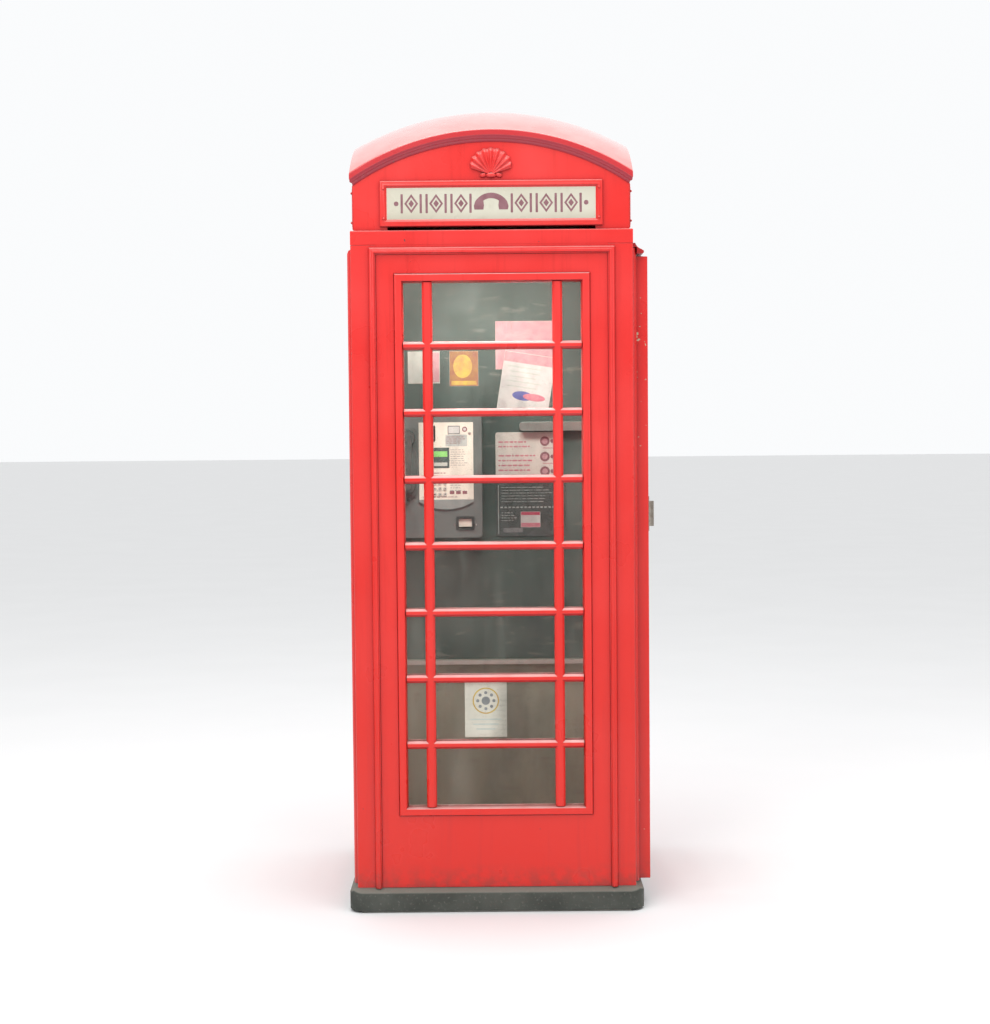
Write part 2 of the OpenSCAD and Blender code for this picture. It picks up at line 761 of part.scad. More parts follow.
// The hook switch slides in a hole behind the upper cup
module hook_hole(y, length) translate([cup_x, y, cup_z + cup_pitch]) rotate([-90, 0, 0])
    cylinder(r = hook_r + key_clear, h = length);

module handset_cradle() color([0.20, 0.22, 0.22]) difference() {
    union() {
        upright(phone_y - cradle_t, cradle_t) translate([cup_x, cup_z + cup_pitch / 2])
            round_rect(2 * cup_r + 12, cup_pitch + 2 * cup_r + 12, 10);
        translate([cup_x, phone_y, cup_z - cup_r - 22]) rotate([90, 0, 0]) cylinder(r = 9, h = 14);
    }
    for (z = [cup_z, cup_z + cup_pitch]) translate([cup_x, phone_y - cradle_t + cradle_nest, z])
        rotate([90, 0, 0]) cylinder(r = cup_r + 0.6, h = 20);
    translate([cup_x, phone_y - 3, cup_z - cup_r - 22]) rotate([90, 0, 0]) cylinder(r = 4, h = 20);
    hook_hole(phone_y - cradle_t, cradle_t + 1);
}

module hook_switch() color([0.10, 0.10, 0.10]) {
    front = phone_y - cradle_t + cradle_nest + 0.3;
    translate([cup_x, front, cup_z + cup_pitch]) rotate([-90, 0, 0]) cylinder(r = hook_r, h = 16);
}

module handset() color([0.08, 0.08, 0.08]) {
    seat = phone_y - cradle_t + cradle_nest - 0.4;
    grip_w = 30;
    grip_t = 22;
    union() {
        for (z = [cup_z, cup_z + cup_pitch]) translate([cup_x, seat, z]) rotate([90, 0, 0])
            cylinder(r = cup_r, h = cup_d);
        upright(seat - cup_d - grip_t + 8, grip_t) translate([cup_x, cup_z + cup_pitch / 2])
            round_rect(grip_w, cup_pitch + cup_r, 10);
    }
}

module notice_plate() color([0.84, 0.76, 0.76])
    upright(board_y - 3, 3) translate([116, phone_top - 150]) round_rect(218, 172, 8);

module info_panel() color([0.20, 0.23, 0.22])
    upright(board_y - 3, 3) translate([130, phone_top - 334]) round_rect(246, 190, 4);

// Rounded rail that holds a narrow parcel shelf
module parcel_shelf() color([0.62, 0.66, 0.62]) translate([0, board_y, phone_top - 44]) intersection() {
    union() {
        box([106, -42, -16], [330, 0, 16]);
        translate([106, 0, 0]) rotate([90, 0, 0]) cylinder(r = 16, h = 42);
    }
    box([80, -42, -17], [330, 0, 17]);
}

// Paper cards on the backboard and one notice on the inside of the front glass
module paper_notices() color([0.90, 0.88, 0.78]) {
    for (card = CARDS) upright(board_y - (card[5] + 1) * card_t, card_t)
        translate([card[0], phone_top + card[1]]) rotate(card[2]) square([card[3], card[4]], center = true);
    upright(-glass_y + glass_t, card_t)
        translate([pane_card_x, glaze_z0 + pane_h + bar_h + pane_card_rise])
        square([pane_card_w, pane_card_h], center = true);
}

packing_bed();
plinth();
floor_slab();
post();  // post_front_left
side(1) post();  // post_front_right
side(2) post();  // post_rear_right
side(3) post();  // post_rear_left
head_frame();
roof();
sign_frames();
sign_glasses();
roof_ornaments();
ceiling_panel();
ceiling_light();
ceiling_light_lens();
front_frame();
front_glazing_bars();
front_glass();
left_frame();
left_glazing_bars();
left_glass();
back_panel();
backboard();
backboard_ledge();
door_hood();
door_stop();
hinge_frame_leaves();
frame_screws();
payphone_housing();
payphone_faceplate();
housing_lip();
display_window();
coin_slot_plate();
coin_return_pocket();
payphone_fixings();
handset_cradle();
notice_plate();
info_panel();
parcel_shelf();
paper_notices();
door_frame();
door_glazing_bars();
door_glass();
door_handle();
hinge_door_leaves();
coin_return_flap();
hook_switch();
handset();
for (n = [1 : key_cols * key_rows]) key(n);
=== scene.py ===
"""Looks of the telephone booth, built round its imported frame.

Metres, +Z up. The fixed front faces -Y, the door +X. Pieces of one side are drawn for the
front and turned into place, so (x, z) is across and up a side and depth is towards -Y.
"""
import json
import math
import random

import bmesh
import bpy
from mathutils import Matrix, Vector

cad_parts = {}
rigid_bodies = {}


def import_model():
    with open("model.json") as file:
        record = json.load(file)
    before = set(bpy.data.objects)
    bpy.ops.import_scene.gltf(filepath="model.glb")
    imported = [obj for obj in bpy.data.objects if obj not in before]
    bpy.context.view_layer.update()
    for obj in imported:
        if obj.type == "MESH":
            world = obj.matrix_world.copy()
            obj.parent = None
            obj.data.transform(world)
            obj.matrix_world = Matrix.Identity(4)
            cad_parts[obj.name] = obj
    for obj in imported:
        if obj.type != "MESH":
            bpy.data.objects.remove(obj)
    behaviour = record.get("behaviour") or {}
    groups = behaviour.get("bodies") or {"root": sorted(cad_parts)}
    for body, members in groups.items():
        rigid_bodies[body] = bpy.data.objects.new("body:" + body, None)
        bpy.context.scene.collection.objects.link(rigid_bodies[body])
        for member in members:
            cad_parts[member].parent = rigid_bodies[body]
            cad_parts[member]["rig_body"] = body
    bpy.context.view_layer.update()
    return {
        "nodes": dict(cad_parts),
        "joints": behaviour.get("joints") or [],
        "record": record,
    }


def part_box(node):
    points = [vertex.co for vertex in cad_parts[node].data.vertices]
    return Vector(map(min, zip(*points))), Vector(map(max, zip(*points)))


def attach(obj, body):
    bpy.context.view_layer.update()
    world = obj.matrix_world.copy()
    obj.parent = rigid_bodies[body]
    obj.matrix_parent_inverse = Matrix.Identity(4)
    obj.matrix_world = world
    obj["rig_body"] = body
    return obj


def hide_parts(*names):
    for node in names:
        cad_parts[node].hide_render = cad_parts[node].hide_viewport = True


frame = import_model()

MM = 0.001


def low(node):
    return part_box(node)[0]


def high(node):
    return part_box(node)[1]


# ---- Places, from the frame ----

SILL_Z = high("plinth").z
HEAD_Z = high("front_frame").z
POST_TOP = HEAD_Z + 28.5 * MM
BODY_Z = high("head_frame").z
CROWN_Z = high("roof").z
PANEL_Y = -low("front_frame").y
OPEN_HALF = high("front_frame").x
MOULD_W = 21.5 * MM
MOULD_OUT = 15 * MM
HALF = high("head_frame").x - MOULD_OUT
POST_DEPTH = 55.3 * MM

BEAD_HALF = high("front_glazing_bars").x
BEAD_Y = -low("front_glazing_bars").y
BEAD_Z0 = low("front_glazing_bars").z
BEAD_Z1 = high("front_glazing_bars").z
BEAD_W = 27 * MM
GLASS_FRONT_Y = -low("front_glass").y
BAR_Y = GLASS_FRONT_Y + 14 * MM
GRID_BACK_Y = -high("front_glazing_bars").y
SIDE_PANE = 58 * MM
BAR_W = 30.5 * MM
BAR_H = 25 * MM
PANE_ROWS = 8

CORNICE_HALF = high("roof").x
FASCIA_HALF = high("sign_glasses").x - 6 * MM
FASCIA_T = 18 * MM
DOME_SAG = 104.5 * MM
DOME_R = (FASCIA_HALF ** 2 + DOME_SAG ** 2) / (2 * DOME_SAG)
DOME_Z = CROWN_Z - DOME_R
VENT_HALF = 318 * MM
VENT_H = 11 * MM
SIGN_Z = (low("sign_frames").z + high("sign_frames").z) / 2
SIGN_W = 633 * MM
SIGN_H = 91 * MM
SIGN_BORDER = 24 * MM
SHELL_Z0 = low("roof_ornaments").z
SHELL_Z1 = high("roof_ornaments").z

BOARD_Y = low("backboard").y
PHONE_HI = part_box("payphone_housing")[1]
FACE_LO, FACE_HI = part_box("payphone_faceplate")

DOOR_AJAR = math.radians(3.9)
DOOR_PIN = Vector(next(j["pos_m"] for j in frame["joints"] if j["name"] == "door_swing"))


def side_matrix(k):
    """Turns a piece made for the front onto side 0 front, 1 right, 2 back or 3 left."""
    return Matrix.Rotation(k * math.pi / 2, 4, "Z")


SWING = Matrix.Translation(DOOR_PIN) @ Matrix.Rotation(DOOR_AJAR, 4, "Z") @ Matrix.Translation(-DOOR_PIN)
FRONT, LEFT, DOOR = side_matrix(0), side_matrix(3), SWING @ side_matrix(1)

# ---- Materials ----


class Look:
    """A procedural material: one Principled shader and short calls for its node chains."""

    def __init__(self, name, **constants):
        self.mat = bpy.data.materials.new(name)
        self.mat.use_nodes = True
        self.tree = self.mat.node_tree
        self.bsdf = self.tree.nodes["Principled BSDF"]
        for key, value in constants.items():
            self.bsdf.inputs[key.replace("_", " ")].default_value = value
        self.place = self.node("TexCoord").outputs["Object"]

    def node(self, kind, inputs=(), **settings):
        made = self.tree.nodes.new("ShaderNode" + kind)
        for key, value in settings.items():
            setattr(made, key, value)
        for key, value in dict(inputs).items():
            self.feed(made.inputs[key], value)
        return made

    def feed(self, socket, value):
        if isinstance(value, bpy.types.NodeSocket):
            self.tree.links.new(value, socket)
        else:
            socket.default_value = value

    def noise(self, scale, detail=3.0, stretch=(1, 1, 1), shift=0.0):
        spot = self.node("Mapping", {"Vector": self.place, "Scale": stretch, "Location": (shift,) * 3})
        field = self.node("TexNoise", {"Vector": spot.outputs[0], "Scale": scale, "Detail": detail})
        return field.outputs["Fac"]

    def spots(self, scale, shift=0.0):
        spot = self.node("Mapping", {"Vector": self.place, "Location": (shift,) * 3})
        field = self.node("TexVoronoi", {"Vector": spot.outputs[0], "Scale": scale})
        return field.outputs["Distance"]

    def height(self, z0, z1):
        """0 at z0 and 1 at z1, up the object."""
        z = self.node("SeparateXYZ", {0: self.place}).outputs["Z"]
        return self.node("MapRange", {"Value": z, "From Min": z0, "From Max": z1}).outputs[0]

    def facing_up(self, start=0.2, end=0.9):
        shape = self.node("NewGeometry").outputs["Normal"]
        z = self.node("SeparateXYZ", {0: shape}).outputs["Z"]
        return self.node("MapRange", {"Value": z, "From Min": start, "From Max": end}).outputs[0]

    def steps(self, value, start, end, low_value=0.0, high_value=1.0):
        """A soft step: low_value below start, high_value above end."""
        inputs = {"Value": value, "From Min": start, "From Max": end, "To Min": low_value,
                "To Max": high_value}
        return self.node("MapRange", inputs).outputs[0]

    def times(self, a, b):
        return self.node("Math", {0: a, 1: b}, operation="MULTIPLY").outputs[0]

    def plus(self, a, b):
        return self.node("Math", {0: a, 1: b}, operation="ADD").outputs[0]

    def blend(self, share, a, b):
        mixer = self.node("Mix", data_type="RGBA")
        self.feed(mixer.inputs["Factor"], share)
        for socket, value in ((mixer.inputs[6], a), (mixer.inputs[7], b)):
            self.feed(socket, value if isinstance(value, bpy.types.NodeSocket) else (*value, 1))
        return mixer.outputs[2]

    def bump(self, *layers):
        """Layers of (height, strength, distance in metres), the broadest first."""
        normal = None
        for value, strength, distance in layers:
            inputs = {"Height": value, "Strength": strength, "Distance": distance}
            if normal is not None:
                inputs["Normal"] = normal
            normal = self.node("Bump", inputs).outputs[0]
        self.feed(self.bsdf.inputs["Normal"], normal)

    def finish(self, color, roughness, alpha=None):
        self.feed(self.bsdf.inputs["Base Color"], color)
        self.feed(self.bsdf.inputs["Roughness"], roughness)
        if alpha is not None:
            self.feed(self.bsdf.inputs["Alpha"], alpha)
        return self.mat


def enamel(name, base=(0.84, 0.020, 0.016), pitting=0.25, chips=0.70, dust_sheen_lift=0.0, underside_shade=0.65,
           chip_color=(0.10, 0.045, 0.045), eave=False, coat=0.35):
    """Gloss red enamel: broad fading, rain streaks, grime near the ground, chips and cast pitting, with
    painted light: a dusting with a painted highlight on upward faces, and painted shade towards the bottom,
    on downward faces, in recesses and under the eave.
    """
    look = Look(name, Coat_Weight=coat, Coat_Roughness=0.12, Specular_IOR_Level=0.4)
    pale = tuple(min(1, c * 1.05 + 0.035) for c in base)
    deep = tuple(c * 0.72 for c in base)
    color = look.blend(look.steps(look.noise(2.2, 3), 0.35, 0.7), base, pale)
    # Painted shade: darker and more orange towards the bottom.
    color = look.blend(look.steps(look.height(0.1, 1.9), 0, 1, 0.95, 0.0), color,
            (base[0] * 0.84, 0.012, 0.002))
    streaks = look.steps(look.noise(9, 4, (6, 6, 0.35)), 0.56, 0.72, 0, 0.30)
    color = look.blend(streaks, color, deep)
    # Upward faces paler: a dusting mixed with a painted highlight that stands for sky light on the gloss.
    dust_and_sheen = look.times(look.facing_up(0.12, 0.8), look.steps(look.noise(14, 4), 0.3, 0.75, 0.55, 0.85))
    color = look.blend(look.times(dust_and_sheen, 0.5 + dust_sheen_lift), color, (0.86, 0.50 + dust_sheen_lift * 0.5, 0.46 + dust_sheen_lift * 0.5))
    foot = look.times(look.steps(look.height(0.07, 0.15), 0, 1, 1, 0),
            look.steps(look.noise(30, 5), 0.4, 0.62))
    color = look.blend(look.times(foot, 0.5), color, (0.16, 0.04, 0.03))
    # Painted shade on downward faces, darkest where they face straight down.
    underside_shade = look.steps(look.facing_up(-0.95, -0.15), 0, 1, underside_shade, 0)
    color = look.blend(underside_shade, color, (0.20, 0.006, 0.012))
    # Painted shade in recesses, from ambient occlusion.
    recess_shade = look.node("AmbientOcclusion", {"Distance": 0.03}, samples=4).outputs["AO"]
    color = look.blend(look.steps(recess_shade, 0.30, 0.92, 0.85, 0), color, (0.30, 0.003, 0.008))
    if eave:
        reach = look.node("VectorMath", {0: look.place, 1: (0, 0, DOME_Z)},
                operation="DISTANCE").outputs["Value"]
        # Painted shade under the nose, on the cyma, a little mottled.
        under = look.times(look.steps(reach, DOME_R - 0.0165, DOME_R - 0.0145, 1, 0),
                           look.steps(look.noise(25, 4), 0.3, 0.6, 0.8, 0.95))
        color = look.blend(under, color, (0.24, 0.003, 0.022))
        # Painted shade at half strength on the nose front and everything below the top of the eave.
        front = look.times(look.steps(reach, DOME_R - 0.0025, DOME_R - 0.0005, 1, 0), 0.5)
        color = look.blend(front, color, (0.45, 0.004, 0.025))
    chip_field = look.plus(look.noise(70, 4, shift=3.1), look.times(look.noise(5, 2, shift=7.7), 0.35))
    chip = look.steps(chip_field, chips + 0.155, chips + 0.175)
    color = look.blend(chip, color, chip_color)
    rough = look.steps(look.noise(6, 3, shift=1.3), 0.3, 0.75, 0.24, 0.46)
    look.bump((look.noise(16, 2), 0.12, 0.002), (look.noise(130, 3), pitting, 0.0008),
              (look.steps(chip, 0, 1, 1, 0), 0.5, 0.0006))
    return look.finish(color, rough)


def surface(name, base, other, scale=20, rough=(0.4, 0.6), bump=0.15, grain=(1, 1, 1), **constants):
    """A plain finish with mottling, fine wear and its own grain."""
    look = Look(name, **constants)
    color = look.blend(look.steps(look.noise(scale, 4, grain), 0.35, 0.7), base, other)
    worn = look.steps(look.noise(scale * 5, 5, grain, 2.3), 0.6, 0.75, 0, 0.35)
    color = look.blend(worn, color, tuple(c * 0.6 for c in base))
    look.bump((look.noise(scale * 8, 3, grain), bump, 0.0006))
    return look.finish(color, look.steps(look.noise(scale * 2, 3, grain, 5.1), 0.3, 0.7, *rough))


def plinth_paint():
    look = Look("plinth_black", Specular_IOR_Level=0.4)
    color = look.blend(look.steps(look.noise(8, 5), 0.35, 0.7), (0.050, 0.056, 0.048), (0.090, 0.098, 0.084))
    color = look.blend(look.steps(look.noise(120, 5, shift=4), 0.58, 0.72, 0, 0.5), color,
            (0.20, 0.20, 0.17))
    # Painted highlight: upward faces paler, where the top faces the sky.
    color = look.blend(look.times(look.facing_up(), 0.6), color, (0.27, 0.26, 0.22))
    chip = look.steps(look.noise(60, 6, shift=9), 0.76, 0.79)
    color = look.blend(chip, color, (0.22, 0.15, 0.12))
    look.bump((look.noise(18, 4), 0.35, 0.003), (look.noise(110, 4), 0.4, 0.001))
    return look.finish(color, look.steps(look.noise(20, 3), 0.3, 0.7, 0.55, 0.85))


def clear_glass():
    """Clear glass: a thin tint, with dusty patches and dried drips that make it greyer."""
    look = Look("pane_glass", IOR=1.5, Specular_IOR_Level=0.6)
    patches = look.noise(3.4, 4, (1, 1, 0.45), 8)
    color = look.blend(look.steps(patches, 0.40, 0.62), (0.020, 0.026, 0.022), (0.38, 0.39, 0.33))
    drips = look.steps(look.noise(7, 5, (4, 4, 0.7)), 0.52, 0.85, 0.0, 0.10)
    specks = look.steps(look.spots(70), 0.05, 0.11, 0.30, 0.0)
    haze = look.plus(look.steps(patches, 0.50, 0.70, 0.03, 0.12), look.steps(patches, 0.30, 0.48, 0.26, 0.0))
    alpha = look.plus(look.plus(drips, specks), haze)
    look.bump((look.noise(3.5, 1), 0.02, 0.002))
    return look.finish(color, look.steps(look.noise(20, 4), 0.3, 0.7, 0.02, 0.07), alpha)


def opal_glass():
    look = Look("opal_glass", Coat_Weight=0.4, Coat_Roughness=0.08, Specular_IOR_Level=0.5)
    color = look.blend(look.steps(look.noise(5, 4), 0.3, 0.75), (0.74, 0.72, 0.60), (0.66, 0.63, 0.50))
    stain = look.steps(look.noise(12, 6, (1, 1, 0.6), 6), 0.56, 0.74, 0, 0.55)
    color = look.blend(stain, color, (0.44, 0.40, 0.30))
    low_edge = look.steps(look.height(SIGN_Z - SIGN_H / 2, SIGN_Z - SIGN_H / 5), 0, 1, 0.35, 0)
    color = look.blend(low_edge, color, (0.42, 0.38, 0.29))
    look.bump((look.noise(60, 2), 0.05, 0.0005))
    return look.finish(color, look.steps(look.noise(9, 3), 0.3, 0.7, 0.2, 0.4))


def lamp_plastic():
    look = Look("lamp_lens", Emission_Color=(1, 0.97, 0.9, 1), Emission_Strength=0.6)
    color = look.blend(look.steps(look.noise(30, 3), 0.3, 0.7), (0.9, 0.9, 0.85), (0.8, 0.8, 0.74))
    ribs = look.node("TexWave", {"Vector": look.place, "Scale": 60.0}).outputs["Fac"]
    look.bump((ribs, 0.4, 0.001))
    return look.finish(color, look.steps(look.noise(30), 0.3, 0.7, 0.3, 0.5))


def graded_board():
    """Dark painted backboard: grey-green above the ledge and browner below it."""
    look = Look("board_grey", Specular_IOR_Level=0.35)
    ledge = high("backboard_ledge").z
    upper = look.blend(look.steps(look.noise(5, 4), 0.35, 0.7), (0.070, 0.100, 0.090), (0.105, 0.140, 0.126))
    lower = look.blend(look.steps(look.noise(7, 4, (1, 1, 0.5)), 0.3, 0.7), (0.300, 0.330, 0.255),
            (0.420, 0.430, 0.335))
    color = look.blend(look.steps(look.height(ledge - 0.01, ledge), 0, 1), lower, upper)
    scuff = look.steps(look.noise(24, 6, (0.5, 0.5, 2), 3), 0.60, 0.70, 0, 0.4)
    color = look.blend(scuff, color, (0.26, 0.26, 0.23))
    look.bump((look.noise(160, 3), 0.2, 0.0004))
    return look.finish(color, look.steps(look.noise(10), 0.3, 0.7, 0.4, 0.65))


LOOKS = {
    "cast_red": enamel("cast_red", chips=0.80),
    "roof_red": enamel("roof_red", (0.82, 0.022, 0.018), 0.3, 0.80, 0.1),
    "eave_red": enamel("eave_red", (0.82, 0.022, 0.018), 0.12, 0.80, 0.12, 0.9, eave=True, coat=1.0),
    "frame_red": enamel("frame_red", (0.86, 0.021, 0.016), 0.15, 0.82),
    "door_teak": enamel("door_teak", (0.84, 0.020, 0.016), 0.15, 0.74, chip_color=(0.62, 0.50, 0.34)),
    # The glazing bars take the strongest pale tops: more painted highlight with the dusting.
    "bar_red": enamel("bar_red", (0.88, 0.024, 0.019), 0.12, 0.84, 0.4, 0.85),
    # The door hood and the door stop take darker copies of the red enamel: painted shade.
    "hood_dark": enamel("hood_dark", (0.50, 0.018, 0.018), 0.25, 0.78),
    "stop_red": enamel("stop_red", (0.60, 0.018, 0.016), 0.15, 0.78),
    "plinth_black": plinth_paint(),
    "concrete": surface("concrete", (0.30, 0.29, 0.26), (0.20, 0.20, 0.18), 14, (0.8, 0.95), 0.5),
    "opal_glass": opal_glass(),
    "pane_glass": clear_glass(),
    "ceiling_white": surface("ceiling_white", (0.62, 0.62, 0.57), (0.52, 0.52, 0.47), 6, (0.4, 0.6)),
    "lamp_lens": lamp_plastic(),
    "board_grey": graded_board(),
    "ledge_metal": surface("ledge_metal", (0.62, 0.61, 0.55), (0.50, 0.49, 0.43), 20, (0.35, 0.5), 0.1,
                           (0.1, 1, 1), Metallic=0.7),
    "hinge_metal": surface("hinge_metal", (0.36, 0.020, 0.018), (0.20, 0.022, 0.02), 60, (0.35, 0.6), 0.3),
    "phone_grey": surface("phone_grey", (0.135, 0.155, 0.150), (0.165, 0.185, 0.178), 9, (0.32, 0.45), 0.08,
                          Coat_Weight=0.2),
    "faceplate_cream": surface("faceplate_cream", (0.84, 0.82, 0.72), (0.78, 0.75, 0.65), 16,
            (0.28, 0.4), 0.05,
                               Coat_Weight=0.25),
    "lip_grey": surface("lip_grey", (0.30, 0.34, 0.33), (0.25, 0.28, 0.27), 20, (0.35, 0.5), 0.1),
    "display_dark": surface("display_dark", (0.085, 0.115, 0.110), (0.11, 0.14, 0.135), 30,
            (0.2, 0.3), 0.05),
    "black_metal": surface("black_metal", (0.030, 0.032, 0.032), (0.055, 0.058, 0.056), 40, (0.3, 0.5), 0.1),
    "pocket_black": surface("pocket_black", (0.035, 0.04, 0.04), (0.06, 0.065, 0.065), 40, (0.3, 0.45), 0.2),
    "screw_steel": surface("screw_steel", (0.55, 0.55, 0.52), (0.42, 0.42, 0.40), 90, (0.25, 0.4), 0.1,
                           Metallic=0.9),
    "cradle_black": surface("cradle_black", (0.100, 0.115, 0.110), (0.130, 0.145, 0.140), 30,
            (0.35, 0.5), 0.2),
    "notice_pink": surface("notice_pink", (0.74, 0.71, 0.65), (0.68, 0.64, 0.58), 10, (0.25, 0.4), 0.04,
                           Coat_Weight=0.3),
    "info_dark": surface("info_dark", (0.070, 0.085, 0.080), (0.10, 0.115, 0.11), 12, (0.2, 0.35), 0.05,
                         Coat_Weight=0.3),
    "shelf_metal": surface("shelf_metal", (0.34, 0.38, 0.35), (0.26, 0.29, 0.27), 15, (0.3, 0.45), 0.08,
                           (0.1, 1, 1), Metallic=0.6),
    "card_paper": surface("card_paper", (0.72, 0.70, 0.60), (0.66, 0.63, 0.53), 25, (0.6, 0.8), 0.1),
    "handle_nickel": surface("handle_nickel", (0.42, 0.37, 0.32), (0.28, 0.23, 0.19), 50, (0.2, 0.4), 0.1,
                             Metallic=0.95),
    "key_plastic": surface("key_plastic", (0.60, 0.60, 0.56), (0.52, 0.52, 0.48), 60, (0.3, 0.4), 0.05),
    "flap_cream": surface("flap_cream", (0.80, 0.77, 0.68), (0.72, 0.69, 0.60), 40, (0.3, 0.4), 0.05),
    "handset_black": surface("handset_black", (0.090, 0.100, 0.096), (0.120, 0.130, 0.125), 30,
            (0.25, 0.4), 0.1),
}

# Printing inks and coloured cards, on the pieces that carry them
INKS = {
    "plum": ((0.26, 0.11, 0.13), (0.34, 0.17, 0.19)),
    "grey": ((0.20, 0.21, 0.21), (0.30, 0.31, 0.31)),
    "light": ((0.55, 0.60, 0.57), (0.42, 0.46, 0.44)),
    "pink": ((0.60, 0.20, 0.26), (0.68, 0.30, 0.34)),
    "crimson": ((0.50, 0.06, 0.12), (0.58, 0.12, 0.18)),
    "green": ((0.22, 0.62, 0.16), (0.30, 0.70, 0.22)),
    "silver": ((0.55, 0.60, 0.55), (0.48, 0.53, 0.48)),
    "yellow": ((0.62, 0.46, 0.08), (0.50, 0.30, 0.10)),
    "ochre": ((0.38, 0.20, 0.07), (0.30, 0.12, 0.08)),
    "blue": ((0.10, 0.12, 0.36), (0.18, 0.18, 0.44)),
    "white": ((0.66, 0.66, 0.64), (0.58, 0.58, 0.56)),
    "blush": ((0.62, 0.36, 0.38), (0.52, 0.28, 0.32)),
    "black": ((0.03, 0.03, 0.03), (0.05, 0.05, 0.05)),
}
INK_LOOKS = {name: surface("ink_" + name, a, b, 40, (0.4, 0.55), 0.03) for name, (a, b) in INKS.items()}

# ---- Mesh tools ----


def add_piece(name, bm, look, body, replaced=(), smooth_angle=40):
    """Makes a piece of a bmesh: welded, outward normals, smooth but for its sharp edges."""
    bmesh.ops.remove_doubles(bm, verts=bm.verts, dist=1e-6)
    bmesh.ops.recalc_face_normals(bm, faces=bm.faces)
    limit = math.radians(smooth_angle)
    for face in bm.faces:
        face.smooth = True
    for edge in bm.edges:
        edge.smooth = len(edge.link_faces) == 2 and edge.calc_face_angle(0) < limit
    mesh = bpy.data.meshes.new(name)
    bm.to_mesh(mesh)
    bm.free()
    piece = bpy.data.objects.new(name, mesh)
    bpy.context.scene.collection.objects.link(piece)
    mesh.materials.append(look)
    if len(mesh.polygons) < 30000:
        weighted = piece.modifiers.new("normals", "WEIGHTED_NORMAL")
        weighted.keep_sharp = True
    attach(piece, body)
    if replaced:
        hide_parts(*replaced)
    return piece


def tag_of(node):
    """(body, material slot) of a CAD node."""
    body = frame["nodes"][node]["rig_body"]
    slot = next(s["material_slot"] for s in frame["record"]["subparts"] if s["node"] == node)
    return body, slot


def soften(node, width, segments=2, dissolve=0.3):
    """A worked copy of a CAD node: facets joined, every arris rounded. It stands for the node."""
    bm = bmesh.new()
    bm.from_mesh(frame["nodes"][node].data)
    bmesh.ops.remove_doubles(bm, verts=bm.verts, dist=1e-5)
    bmesh.ops.dissolve_limit(bm, angle_limit=math.radians(dissolve), verts=bm.verts, edges=bm.edges)
    arrises = [e for e in bm.edges if len(e.link_faces) == 2 and e.calc_face_angle(0) > math.radians(32)]
    bmesh.ops.bevel(bm, geom=arrises, offset=width, segments=segments, profile=0.5, affect="EDGES",
                    clamp_overlap=True)
    body, slot = tag_of(node)
    return add_piece(node + "_visual", bm, LOOKS[slot], body, [node])


def loops_to_faces(bm, loops, closed=True, caps=False):
    """Joins rows of points, each row as long as the next, into quads."""
    rows = [[bm.verts.new(p) for p in loop] for loop in loops]
    for a, b in zip(rows, rows[1:]):
        count = len(a)
        for i in range(count if closed else count - 1):
            j = (i + 1) % count
            bm.faces.new((a[i], a[j], b[j], b[i]))
    if caps:
        bm.faces.new(rows[0])
        bm.faces.new(rows[-1])
    return rows


def frame_sweep(bm, profile, half_w, z0, z1, matrix):
    """Sweeps a closed profile of (inset, depth) round a rectangle, mitred at its corners."""
    loops = []
    for u, y in profile + profile[:1]:
        corners = ((-half_w + u, z0 + u), (half_w - u, z0 + u), (half_w - u, z1 - u), (-half_w + u, z1 - u))
        loops.append([matrix @ Vector((x, -y, z)) for x, z in corners])
    loops_to_faces(bm, loops)


def portal_sweep(bm, profile, half_w, z0, top, matrix):
    """Sweeps a profile of (inset, depth) up, across and down round an opening."""
    loops = []
    for u, y in profile + profile[:1]:
        corners = ((-half_w + u, z0), (-half_w + u, top - u), (half_w - u, top - u), (half_w - u, z0))
        loops.append([matrix @ Vector((x, -y, z)) for x, z in corners])
    rows = loops_to_faces(bm, loops, closed=False)
    for end in (0, -1):
        bm.faces.new([row[end] for row in rows[:-1]])


def square_sweep(bm, profile):
    """Sweeps a closed profile of (distance from the middle, height) round the booth."""
    loops = []
    for d, z in profile + profile[:1]:
        loops.append([Vector((x * d, y * d, z)) for x, y in ((-1, -1), (1, -1), (1, 1), (-1, 1))])
    loops_to_faces(bm, loops)


def prism(bm, outline, z0, z1, bevel=0.0):
    """A closed upright prism over a plan outline, its ends drawn in a little where bevelled."""
    middle = sum((Vector(p) for p in outline), Vector((0, 0))) / len(outline)

    def ring(z, inset):
        return [Vector((*(Vector(p) + (middle - Vector(p)).normalized() * inset), z)) for p in outline]

    rings = [ring(z0, bevel), ring(z0 + bevel, 0), ring(z1 - bevel, 0), ring(z1, bevel)]
    loops_to_faces(bm, rings if bevel else [ring(z0, 0), ring(z1, 0)], caps=True)


def plate(bm, outline, y, t, matrix=FRONT, bevel=0.2 * MM):
    """A thin plate with an outline in (x, z), whose back is at y and whose front has a soft edge."""
    middle = sum((Vector(p) for p in outline), Vector((0, 0))) / len(outline)
    inner = [Vector(p) + (middle - Vector(p)).normalized() * bevel for p in outline]
    rings = [[matrix @ Vector((p[0], y, p[1])) for p in outline],
             [matrix @ Vector((p[0], y - t * 0.6, p[1])) for p in outline],
             [matrix @ Vector((p[0], y - t, p[1])) for p in inner]]
    loops_to_faces(bm, rings, caps=True)


